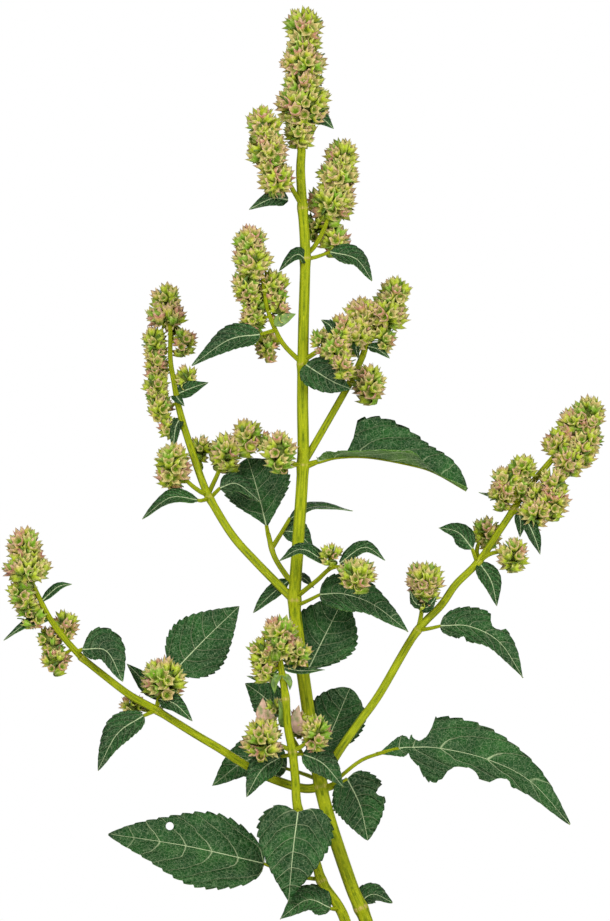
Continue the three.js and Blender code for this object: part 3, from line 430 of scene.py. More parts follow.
def along_curve(points, along):
    """The place and direction at a share of the smooth curve through the points"""
    last = len(points) - 1
    span = min(int(along * last), last - 1)
    weight = along * last - span
    here, there = points[span], points[span + 1]
    before = points[span - 1] if span else 2 * here - there
    after = points[span + 2] if span + 2 <= last else 2 * there - here
    start, end = (there - before) / 2, (after - here) / 2
    bend = 3 * (there - here) - 2 * start - end
    twist = 2 * (here - there) + start + end
    place = here + start * weight + bend * weight**2 + twist * weight**3
    return place, (start + 2 * bend * weight + 3 * twist * weight**2).normalized()


def tube(
    shape, points, radii, sides, step, finish=0, joints=(), ribs=0.0, front=(0, -1, 0), shift=0.0, taper=1
):
    """Adds a closed tapering tube, ribbed at its four corners and swollen at its joints"""
    curve = [Vector(point) for point in points]
    length = sum((there - here).length for here, there in zip(curve, curve[1:]))
    rings = max(2, round(length / step)) + 1
    forward = Vector(front)
    made, places, tones, faces = [], [], [], []
    for ring in range(rings):
        along = ring / (rings - 1)
        centre, tangent = along_curve(curve, along)
        side = forward.cross(tangent).normalized()
        lift = tangent.cross(side)
        radius = radii[0] + (radii[1] - radii[0]) * along**taper
        climb = max(LEAST_CLIMB, abs(tangent.z))
        near = sum(math.exp(-(((centre.z - joint) / climb / NODE_LENGTH) ** 2)) for joint in joints)
        radius *= 1 + NODE_SWELL * min(1, near)
        for corner in range(sides):
            turn = 2 * math.pi * (corner + 0.5) / sides
            reach = radius * (1 - ribs * math.cos(4 * turn) + GROOVE_SHARE * ribs * math.cos(8 * turn))
            sideways, forwards = reach * math.cos(turn), reach * math.sin(turn) - shift * radius
            made.append(centre + side * sideways + lift * forwards)
            # The map runs round the tube to its far side and back, so that it has no seam
            around = abs((turn / 2 / math.pi + 0.25) % 1 - 0.5) * 2
            places.append((around, along * length / STEM_MAP_LENGTH))
            tones.append(min(1, near))
    for ring in range(rings - 1):
        for corner in range(sides):
            here, after = ring * sides + corner, ring * sides + (corner + 1) % sides
            faces.append([here, after, after + sides, here + sides])
    faces.append(list(reversed(range(sides))))
    faces.append([(rings - 1) * sides + corner for corner in range(sides)])
    shape.add(made, faces, places, tones, finish)


def stalk(shape, points, radii, finish, **settings):
    """Adds a tube that is too thin to need the sides and steps of a stem"""
    tube(shape, points, radii, STALK_SIDES, STALK_STEP, finish, **settings)


def mask(tree, factor, low, high, most=1.0):
    """A share that is nothing below low and rises to its most at high"""
    return ramp(tree, factor, [(low, (0, 0, 0)), (high, (most, most, most))])


def stem_finish():
    """Green with painted shade and highlights in bands round its ribs, streaked lengthways, and a tan scar
    at each node
    """
    material, tree, shader = new_material("green_stem", 0.42, JUICY_SHINE)
    place = tree.nodes.new("ShaderNodeTexCoord").outputs["UV"]
    stretched = node(tree, "ShaderNodeMapping", _Vector=place, _Scale=(22, 7, 1)).outputs["Vector"]
    streaks = noise(tree, stretched, scale=1.0, detail=6, roughness=0.72)
    around = node(tree, "ShaderNodeSeparateXYZ", _0=place).outputs["X"]
    ribs = calc(tree, "MULTIPLY_ADD", calc(tree, "PINGPONG", around, 0.25), 0.9, streaks)
    # Olive is painted shade and yellow a painted highlight, in bands set by the places of the ribs round
    # the stem's map
    rising = [(0.38, STEM_SHADE), (0.52, STEM_GREEN), (0.64, STEM_HIGHLIGHT)]
    colour = ramp(tree, ribs, [*rising, (0.72, STEM_GREEN), (0.84, STEM_SHADE)])
    joint = node(tree, "ShaderNodeAttribute", attribute_name="tone").outputs["Fac"]
    scar = mask(tree, calc(tree, "MULTIPLY", joint, streaks), low=0.42, high=0.58, most=0.75)
    cover(tree, shader, mixed(tree, scar, colour, NODE_TAN), streaks, strength=0.8, distance=0.6 * MM)
    return material


stem_green = stem_finish()


def make_stems():
    finishes = [stem_green, leaf_upper, leaf_under]
    for name, parts in STEMS.items():
        shape = Shape()
        settings = dict(joints=parts["nodes"], ribs=RIB_HEIGHT, taper=parts.get("taper", 1))
        tube(shape, parts["points"], parts["radii"], STEM_SIDES, STEM_STEP, **settings)
        for route in parts.get("stalks", []):
            stalk(shape, route, STALK_RADII, finishes.index(stem_green))
        for blade in parts.get("blades", []):
            leaf_blade(shape, blade, finishes.index(leaf_upper))
        shape.become(name + "_ribbed", finishes, "stem", name)


# Each leaf is a thin soft blade on a slender petiole: ovate, cut into teeth that point to its tip, folded
# a little along a pale midrib, and quilted between six pairs of side veins that arch along the edge.

# A bite is its side, its place along the blade, its half length and its depth. A hole is its place and
# its radius, and where a petiole is not a plain one, its radii are given.
LEAVES = {
    "leaf_top_right": dict(
        petiole=[[-22.4, 0, 490.5], [-17, 1, 491.5]],
        rib=[[-10, 3, 494], [3, 4, 490.5], [11, 2, 479.5]],
        width=13, face=[0.4, -0.75, 0.5], teeth=7,
    ),
    "leaf_top_front": dict(
        rib=[[-21.5, -1, 489.5], [-27, -6, 492.5], [-35.5, -6, 484.5]],
        width=8.5, face=[-0.2, -0.8, 0.5], teeth=4,
    ),
    "leaf_upper_front": dict(
        petiole=[[-23.6, 0, 438], [-22, -4, 438]],
        rib=[[-22, -5, 437.5], [-16, -9, 433.5], [-8, -10, 428.8], [0.5, -8.5, 425.3]],
        width=20, face=[0.1, -0.95, 0.3], teeth=6,
    ),
    "leaf_upper_left": dict(
        petiole=[[-37, -7, 455], [-42, -10, 453.5]],
        rib=[[-45, -12.5, 452.6], [-60.5, -16.5, 449.8], [-79, -14, 437]],
        width=15, face=[-0.2, -0.9, 0.4], teeth=8,
    ),
    "leaf_right_folded": dict(
        petiole=[[-23.5, 0, 386.5], [-19, -2, 388.2]],
        radii=(2.0, 1.2),
        rib=[
            [-16, -3.5, 389.2], [-6, -6, 391.5], [9.5, -9, 391.5], [30.5, -12, 387.5],
            [42.5, -13, 383.5], [58, -13, 374.5],
        ],
        width=38, face=[0, -0.5, 0.86], fold=0.85, teeth=12, wing=0.27, roundness=0.6, peak=0.26,
        ripple=0.06,
        bites=[(1, 0.22, 0.1, 0.85), (-1, 0.5, 0.6, 0.25), (-1, 0.62, 0.05, -0.3)],
    ),
    "leaf_left_node": dict(
        petiole=[[-70.3, 14.5, 370.8], [-74.5, 8.5, 369.6]],
        rib=[[-76.5, 7.5, 370], [-90, 4, 371], [-104, 4, 360.5]],
        width=10.5, face=[-0.2, -0.7, 0.7], teeth=7,
    ),
    "leaf_inner_node": dict(
        petiole=[[-70, 14.5, 371], [-66, 11, 375]],
        rib=[[-65, 10.5, 376], [-56.5, 9, 378], [-45.5, 8, 369.5]],
        width=12, face=[0.2, -0.8, 0.5], teeth=6,
    ),
    "leaf_behind_centre": dict(
        petiole=[[-41, 17, 352.5], [-41.8, 18, 357]],
        rib=[[-41.8, 18, 356.5], [-46.5, 29, 375], [-51.5, 37, 391]],
        width=38, face=[0, -0.9, 0.4], teeth=9, peak=0.6, heart=0, roundness=0.75,
    ),
    "leaf_centre_right": dict(
        petiole=[[-27.3, 0, 317], [-22, -5, 319.3]],
        rib=[[-15, -8.5, 322.8], [-3, -10, 323], [12, -11, 317.5], [29, -10, 304.2]],
        width=24, face=[0.2, -0.8, 0.55], teeth=10,
    ),
    "leaf_behind_middle": dict(
        petiole=[[-16.8, 0, 237], [-20.5, 7, 244], [-23.5, 9, 262]],
        rib=[[-20.5, 9, 286], [-12, 13, 303], [-2.5, 14, 322]],
        width=36, face=[0, -0.95, 0.2], teeth=9, peak=0.5, heart=0, roundness=0.75,
    ),
    "leaf_far_left": dict(
        petiole=[[-136, -41.5, 294.7], [-133, -44, 296]],
        rib=[[-133, -44, 296], [-121, -46, 295], [-113, -45, 280]],
        width=22.5, face=[0.1, -0.85, 0.5], teeth=7, heart=0,
        bites=[(-1, 0.45, 0.55, 0.35)],
    ),
    "leaf_left_upright": dict(
        petiole=[[-95.3, -25.6, 264.6], [-92, -14, 270.5]],
        rib=[[-87.5, -10.5, 285], [-72, -8, 301], [-55.3, -8, 317]],
        width=33, face=[0.1, -0.95, 0.2], teeth=10,
    ),
    "leaf_left_hanging": dict(
        petiole=[[-96.5, -26, 265.5], [-101, -30, 263.5]],
        rib=[[-103, -30.5, 262.7], [-116, -33, 253.5], [-125.5, -34, 235.5]],
        width=17, face=[-0.3, -0.85, 0.4], teeth=8,
    ),
    "leaf_right_node": dict(
        petiole=[[34, 20.5, 304.5], [40, 18, 305.5]],
        rib=[[45.5, 17, 306.8], [60, 15, 306.5], [75, 14, 298.5], [86.75, 14, 280.75]],
        width=22.5, face=[0.25, -0.8, 0.55], teeth=10,
        bites=[(1, 0.55, 0.07, 0.5), (-1, 0.3, 0.05, 0.25)],
    ),
    "leaf_right_upper": dict(
        petiole=[[64.2, 31.8, 338], [62, 28.5, 344]],
        rib=[[61.5, 28.3, 345.5], [54.5, 27, 353.5], [44.7, 26, 356]],
        width=11.5, face=[-0.2, -0.8, 0.5], teeth=6,
    ),
    "leaf_right_small": dict(
        rib=[[65, 31.5, 338.5], [71, 26, 329], [73.8, 25, 316.7]],
        width=11.5, face=[0.2, -0.9, 0.3], teeth=6,
    ),
    "leaf_front_left": dict(
        petiole=[[-28.6, -19.5, 243], [-33, -17, 242.5]],
        rib=[[-34.5, -16.6, 242], [-44, -15.5, 235.5], [-51.75, -18, 222]],
        width=16.5, face=[-0.2, -0.9, 0.35], teeth=7,
    ),
    "leaf_front_right": dict(
        petiole=[[-28.6, -19.5, 243], [-25, -18, 243.5]],
        rib=[[-23.5, -17.5, 243.3], [-13.5, -16.5, 238.5], [-3.5, -19, 227]],
        width=17, face=[0.2, -0.9, 0.35], teeth=7,
    ),
    "leaf_behind_low_left": dict(
        petiole=[[-16.5, 0, 230.5], [-25, 7, 233.5]],
        rib=[[-32, 8, 235.5], [-50, 10, 240], [-69, 8, 227]],
        width=24, face=[-0.1, -0.9, 0.3], teeth=8,
    ),
    "leaf_behind_mid_left": dict(
        petiole=[[-17.2, 0, 232.5], [-24, 10, 243], [-33, 15, 258]],
        rib=[[-35, 15.5, 262], [-43, 17, 271], [-52.5, 17, 278]],
        width=19, face=[0, -0.95, 0.2], teeth=6,
    ),
    "leaf_behind_right": dict(
        petiole=[[-15.5, 0, 233], [-17, 6, 238]],
        rib=[[-14.5, 10.5, 242], [-7, 18, 259], [0, 21, 275.5]],
        width=33, face=[-0.12, -0.95, 0.3], teeth=9, peak=0.56, heart=0, roundness=0.55,
    ),
    "leaf_low_right_long": dict(
        petiole=[
            [-13.5, -1, 226.3], [-8, -4.5, 228.5], [-3.5, -6.5, 233], [7.5, -8, 241], [24.5, -9, 246],
        ],
        rib=[
            [13, -8.5, 243.3], [24.5, -9, 246], [31.5, -9.5, 246.5], [45, -10, 246], [68.5, -11, 240.5],
            [90, -11, 229.5], [109.75, -10, 208],
        ],
        width=34.5, face=[0.1, -0.85, 0.5], teeth=16, wing=0.34,
        bites=[
            (-1, 0.6, 0.06, 0.45), (-1, 0.46, 0.08, -0.4), (-1, 0.75, 0.035, 0.35), (1, 0.39, 0.07, 0.7),
        ],
    ),
    "leaf_low_right": dict(
        petiole=[[-13.3, 0, 224.8], [-7.5, 4, 226.5]],
        rib=[[-1.5, 6, 230.5], [5, 8, 217], [9, 7, 199.5]],
        width=29.5, face=[0.1, -0.9, 0.3], teeth=9, heart=0.5, roundness=0.7,
        bites=[(1, 0.42, 0.07, 0.3)],
    ),
    "leaf_heart": dict(
        petiole=[[-25.6, -14, 214.5], [-26, -19, 215.5]],
        rib=[[-26, -19.8, 214.5], [-28.5, -25, 195], [-30.7, -22, 170]],
        width=39.5, face=[0, -0.98, 0.15], teeth=9, peak=0.3, heart=0.55,
    ),
    "leaf_low_left_large": dict(
        petiole=[[-14.3, -9.2, 180.5], [-28, -7, 182.5]],
        rib=[[-43, -10, 188.5], [-82, -14, 197.4], [-120.6, -16, 203.5]],
        width=46.5, face=[0, -0.85, 0.5], teeth=11,
        bites=[(-1, 0.5, 0.6, 0.16), (1, 0.5, 0.6, -0.08)],
        holes=[(-90, -16, 207.3, 2)],
    ),
    "leaf_bottom_left": dict(
        petiole=[[-5, -8, 165.5], [-9, -12, 166]],
        rib=[[-10, -12.5, 166.5], [-21.5, -15, 170.5], [-35, -15, 161]],
        width=18, face=[-0.1, -0.8, 0.6], teeth=7,
    ),
    "leaf_bottom_right": dict(
        petiole=[[4.2, 0, 167], [5, 5, 168.5]],
        rib=[[5, 5.3, 169], [12, 7.5, 172.5], [21.3, 7, 168.3]],
        width=14, face=[0.1, -0.7, 0.7], teeth=6,
    ),
}
PLAIN_BLADE = dict(peak=0.37, wing=0, fold=0.22, roundness=0.86, ripple=0.025, bites=[])
LARGE_WIDTH = 12
BLADE_COLUMNS = 8
SMALL_COLUMNS = 4
BLADE_THICKNESS = 0.4
BASE_HALF_WIDTH = 0.9
TIP_TAPER = 0.25
HEART_WIDTH = 15
HEART_DEPTH = 0.2
HEART_LENGTH = 0.1
WING_WIDTH = 0.36
WING_BEND = 1.7
WING_ROUNDNESS = 0.8
WING_OVERLAP = 0.06
TOOTH_ROWS = (0.0, 0.3, 0.6, 0.87, 0.94)
TOOTH_SHARE = 1.3
TOOTH_START = 0.12
TOOTH_PEAK = 0.87
TOOTH_CURVE = 0.75
TOOTH_REACH = 1.02
TOOTH_DEPTH = 0.07
RIM_START = 0.9
RIM_POWER = 5
QUILT_HEIGHT = 0.012
QUILT_SLOPE = 5
QUILT_LEVEL = 0.6
RIPPLE_TURN = 6.28
RIPPLE_COUNTS = (1.6, 2.6)
PETIOLE_RADII = (1.15, 0.85)
MIDRIB_RADII = (0.7, 0.2)
MIDRIB_SPREAD = 4
MIDRIB_WIDTH = 0.29
MIDRIB_TAPER = 0.2
VEIN_PAIRS = 6
VEIN_SLANT = 0.18
VEIN_ARCH = 0.3
VEIN_STAGGER = 0.3
VEIN_WANDER = 0.9
VEIN_WIDTH = 0.055
VEIN_SHARE = 0.9
HOLE_SIDES = 14
HOLE_CUT = 30
LEAF_GREEN = (0.006, 0.044, 0.007)
LEAF_LIGHT = (0.014, 0.078, 0.012)
LEAF_DEEP = (0.004, 0.026, 0.006)
LEAF_BACK = (0.035, 0.11, 0.004)
LEAF_BACK_LIGHT = (0.07, 0.18, 0.01)
PALE_VEIN_AND_GLINT = (0.42, 0.52, 0.28)
LEAF_SHINE = 0.1


def ovate(along, peak, roundness):
    """Half the width of an ovate leaf as a share of its widest, from base to tip"""
    bend = math.log(0.5) / math.log(peak)
    round_part = math.sin(math.pi * min(1, max(0, along)) ** bend)
    return max(0, round_part) ** roundness * (1 - TIP_TAPER * along**3)


def outline(along, peak, wing, roundness):
    """Half the width of a leaf; a winged one has a narrower lobe between its petiole and its blade"""
    if not wing:
        return ovate(along, peak, roundness)
    lobe, blade, start = 0, 0, wing - WING_OVERLAP
    if along < wing:
        lobe = WING_WIDTH * math.sin(math.pi * (along / wing) ** WING_BEND) ** WING_ROUNDNESS
    if along > start:
        blade = ovate((along - start) / (1 - start), peak, roundness)
    return max(lobe, blade)


def tooth_edge(phase):
    """How far the edge stands out at a place in one tooth: a rounded rise and a short drop back"""
    if phase < TOOTH_PEAK:
        return TOOTH_REACH - TOOTH_DEPTH * (1 - (phase / TOOTH_PEAK) ** TOOTH_CURVE)
    return TOOTH_REACH - TOOTH_DEPTH * (phase - TOOTH_PEAK) / (1 - TOOTH_PEAK)


def vein_gap(along, reach, hand):
    """The distance to the nearest side vein, from nothing on it to a half midway between two"""
    stagger = VEIN_STAGGER if hand > 0 else 0
    phase = (along - VEIN_SLANT * reach - VEIN_ARCH * reach**2) * VEIN_PAIRS + stagger
    return abs((phase + 0.5) % 1 - 0.5)


def bitten(along, hand, bites):
    """How much of the blade's half width is left beside its bites; a bite below nothing is a lobe"""
    left = 1.0
    for side, middle, half, depth in bites:
        if side == hand and abs(along - middle) < half:
            left -= depth * math.sqrt(1 - ((along - middle) / half) ** 2)
    return left


def sheet(shape, upper, lower, across, places, tone, finish, under):
    """Adds a grid of points in two layers, closed by a rim that has the finish of the lower layer"""
    count = len(upper)
    faces = []
    for here in range(count - across):
        if (here + 1) % across:
            faces.append([here, here + 1, here + across + 1, here + across])
    closing = [[corner + count for corner in reversed(face)] for face in faces]
    border = list(range(across)) + list(range(2 * across - 1, count, across))
    border += list(range(count - 2, count - across - 1, -1)) + list(range(count - 2 * across, 0, -across))
    for here, after in zip(border, border[1:] + border[:1]):
        closing.append([here, here + count, after + count, after])
    shape.add(upper + lower, faces + closing, places * 2, [tone] * 2 * count, finish)
    shape.finishes[-len(closing):] = [under] * len(closing)


def blade_rows(teeth, large):
    """The places along a blade, from base to tip, that draw its teeth"""
    rows = [0.0]
    for tooth in range(teeth):
        for phase in TOOTH_ROWS if large else TOOTH_ROWS[1::2]:
            place = (tooth + phase - TOOTH_START) / teeth
            if 0 < place < 1:
                rows.append(place)
    return [*rows, 1.0]


def leaf_blade(shape, parts, finish):
    """Adds a toothed, folded and quilted blade; its lower side has the next finish"""
    form = {**PLAIN_BLADE, **parts}
    rib = [Vector(point) for point in form["rib"]]
    face = Vector(form["face"]).normalized()
    width, fold = form["width"], form["fold"]
    heart = form.get("heart", HEART_DEPTH if width > HEART_WIDTH else 0)
    teeth = round(TOOTH_SHARE * form["teeth"])
    large = width > LARGE_WIDTH
    columns = BLADE_COLUMNS if large else SMALL_COLUMNS
    wave = random.Random(round(1000 * abs(rib[0].x + rib[-1].z)))
    swing, ripples = wave.uniform(0, RIPPLE_TURN), wave.uniform(*RIPPLE_COUNTS)
    upper, lower, places = [], [], []
    for along in blade_rows(teeth, large):
        centre, tangent = along_curve(rib, along)
        side = face.cross(tangent).normalized()
        normal = tangent.cross(side)
        rim = outline(along, form["peak"], form["wing"], form["roundness"])
        inner = RIM_START * rim
        edge = rim * tooth_edge((along * teeth + TOOTH_START) % 1)
        left = {hand: bitten(along, hand, form["bites"]) for hand in (1, -1)}
        for column in range(-columns, columns + 1):
            share = abs(column) / columns
            hand = 1 if column > 0 else -1
            reach = left[hand] * (inner * share + (edge - inner) * share**RIM_POWER)
            if along == 0:
                reach = BASE_HALF_WIDTH / (width / 2) * share
            out = reach * width / 2
            pillow = min(1, vein_gap(along, reach, hand) * QUILT_SLOPE) - QUILT_LEVEL
            quilt = QUILT_HEIGHT * width * pillow * min(1, share * 4) * (1 - share**4)
            swung = math.sin(ripples * RIPPLE_TURN * along + swing + hand)
            lift = abs(out) * math.sin(fold) + quilt + form["ripple"] * width * share**2 * swung
            back = heart * out * math.exp(-along / HEART_LENGTH)
            middle = centre + side * (hand * out * math.cos(fold)) + normal * lift - tangent * back
            upper.append(middle + normal * (0.5 * BLADE_THICKNESS))
            lower.append(middle - normal * (0.5 * BLADE_THICKNESS))
            places.append((0.5 + 0.5 * hand * reach, along))
    spread = min(1, MIDRIB_SPREAD / width)
    sheet(shape, upper, lower, 2 * columns + 1, places, spread, finish, finish + 1)


def vein_group():
    """Node group: where the veins run on a blade's own map, and how high the skin stands between them"""
    group = bpy.data.node_groups.new("leaf_veins", "ShaderNodeTree")
    for name, way, kind in (
        ("Map", "INPUT", "Vector"), ("Place", "INPUT", "Vector"), ("Spread", "INPUT", "Float"),
        ("Veins", "OUTPUT", "Float"), ("Net", "OUTPUT", "Float"), ("Relief", "OUTPUT", "Float"),
    ):
        group.interface.new_socket(name, in_out=way, socket_type="NodeSocket" + kind)
    entry = group.nodes.new("NodeGroupInput")
    leave = group.nodes.new("NodeGroupOutput")

    def step(operation, *values):
        return calc(group, operation, *values)

    def fade(value, low, high):
        """1 below low, 0 above high, smooth between"""
        settings = dict(interpolation_type="SMOOTHSTEP", _0=value, _1=low, _2=high, _3=1.0, _4=0.0)
        return node(group, "ShaderNodeMapRange", **settings).outputs[0]

    def cell_edges(scale):
        """The distance to the edge of the cell that a place lies in"""
        settings = dict(feature="DISTANCE_TO_EDGE", _Vector=entry.outputs["Place"], _Scale=scale)
        return node(group, "ShaderNodeTexVoronoi", **settings).outputs["Distance"]

    split = node(group, "ShaderNodeSeparateXYZ", _0=entry.outputs["Map"])
    across, along = split.outputs["X"], split.outputs["Y"]
    reach = step("MULTIPLY", step("ABSOLUTE", step("SUBTRACT", across, 0.5)), 2)
    taper = step("MULTIPLY_ADD", along, -MIDRIB_TAPER, MIDRIB_WIDTH)
    taper = step("MULTIPLY", taper, entry.outputs["Spread"])
    midrib = fade(reach, step("MULTIPLY", taper, 0.3), taper)

    arched = step("MULTIPLY", step("MULTIPLY_ADD", reach, VEIN_ARCH, VEIN_SLANT), reach)
    rooted = step("SUBTRACT", along, arched)
    wander = step("SUBTRACT", noise(group, entry.outputs["Place"], scale=55, detail=3), 0.5)
    stagger = step("MULTIPLY", step("GREATER_THAN", across, 0.5), VEIN_STAGGER)
    offset = step("MULTIPLY_ADD", wander, VEIN_WANDER, stagger)
    offset = step("MULTIPLY", offset, step("MINIMUM", step("MULTIPLY", reach, 3), 1))
    gap = step("PINGPONG", step("MULTIPLY_ADD", rooted, VEIN_PAIRS, offset), 0.5)
    side_vein = fade(gap, 0.0, step("MULTIPLY_ADD", reach, -0.02, VEIN_WIDTH))
    side_vein = step("MULTIPLY", side_vein, fade(reach, 0.72, 1.0))
    side_vein = step("MULTIPLY", side_vein, fade(rooted, 0.72, 0.92))
    side_vein = step("MULTIPLY", side_vein, step("MULTIPLY_ADD", reach, -0.35, 0.75))
    veins = step("MAXIMUM", midrib, side_vein)

    cells, fine = cell_edges(430), cell_edges(1100)
    net = step("MAXIMUM", fade(cells, 0.0, 0.09), step("MULTIPLY", fade(fine, 0.0, 0.12), 0.45))
    pillow = step("MINIMUM", step("MULTIPLY", gap, 4), 1.0)
    pillow = step("ADD", pillow, step("MULTIPLY", cells, 1.6))
    relief = step("SUBTRACT", step("ADD", pillow, step("MULTIPLY", fine, 0.5)), veins)
    for name, value in (("Veins", veins), ("Net", net), ("Relief", relief)):
        group.links.new(value, leave.inputs[name])
    return group


leaf_veins = vein_group()


def leaf_finish(name, roughness, greens, net, relief):
    """One side of a leaf: three greens in clouds, painted pale glints, and its veins in colour and relief
    """
    material, tree, shader = new_material(name, roughness, LEAF_SHINE)
    places = tree.nodes.new("ShaderNodeTexCoord").outputs
    spread = node(tree, "ShaderNodeAttribute", attribute_name="tone").outputs["Fac"]
    settings = dict(node_tree=leaf_veins, _Map=places["UV"], _Place=places["Object"], _Spread=spread)
    veins = node(tree, "ShaderNodeGroup", **settings).outputs
    patches = noise(tree, places["Object"], scale=70, detail=4)
    specks = noise(tree, places["Object"], scale=1400, detail=2)
    green = ramp(tree, patches, list(zip((0.3, 0.5, 0.72), greens)))
    # The pale specks are painted glints, in the colour of the veins
    green = mixed(tree, mask(tree, specks, low=0.58, high=0.76, most=0.3), green, PALE_VEIN_AND_GLINT)
    green = mixed(tree, calc(tree, "MULTIPLY", veins["Net"], net), green, PALE_VEIN_AND_GLINT)
    green = mixed(tree, calc(tree, "MULTIPLY", veins["Veins"], VEIN_SHARE), green, PALE_VEIN_AND_GLINT)
    cover(tree, shader, green, veins["Relief"], relief, distance=0.8 * MM)
    return material


upper_greens, under_greens = (LEAF_DEEP, LEAF_GREEN, LEAF_LIGHT), (LEAF_GREEN, LEAF_BACK, LEAF_BACK_LIGHT)
leaf_upper = leaf_finish("leaf_upper_side", 0.4, upper_greens, net=0.13, relief=1.0)
leaf_under = leaf_finish("leaf_lower_side", 0.62, under_greens, net=0.3, relief=-0.5)


def punch(blade, place, radius):
    """Cuts a round hole that an insect ate through a blade"""
    bpy.ops.object.select_all(action="DESELECT")
    bpy.ops.mesh.primitive_cylinder_add(
        vertices=HOLE_SIDES, radius=radius * MM, depth=HOLE_CUT * MM, location=Vector(place) * MM
    )
    cutter = bpy.context.object
    cutter.rotation_euler = (math.pi / 2, 0, 0)
    cut(blade, cutter, "eaten")


def make_leaves():
    finishes = [leaf_upper, leaf_under, stem_green]
    stalk_finish = finishes.index(stem_green)
    for name, parts in LEAVES.items():
        shape = Shape()
        rib = parts["rib"]
        leaf_blade(shape, parts, finishes.index(leaf_upper))
        stalk(shape, rib, MIDRIB_RADII, stalk_finish, front=parts["face"], shift=1.0)
        if "petiole" in parts:
            stalk(shape, [*parts["petiole"], rib[0]], parts.get("radii", PETIOLE_RADII), stalk_finish)
        blade = shape.become(name + "_blade", finishes, "leaf", name)
        for *place, radius in parts.get("holes", []):
            punch(blade, place, radius)


# The stems come after the section of the leaves because some of them carry small blades
make_stems()
make_leaves()

# The flowers have fallen and left their calyxes: ribbed bells with five pale teeth, some of them pink,
# packed in whorls round the ends of the stalks with small green bracts between them.

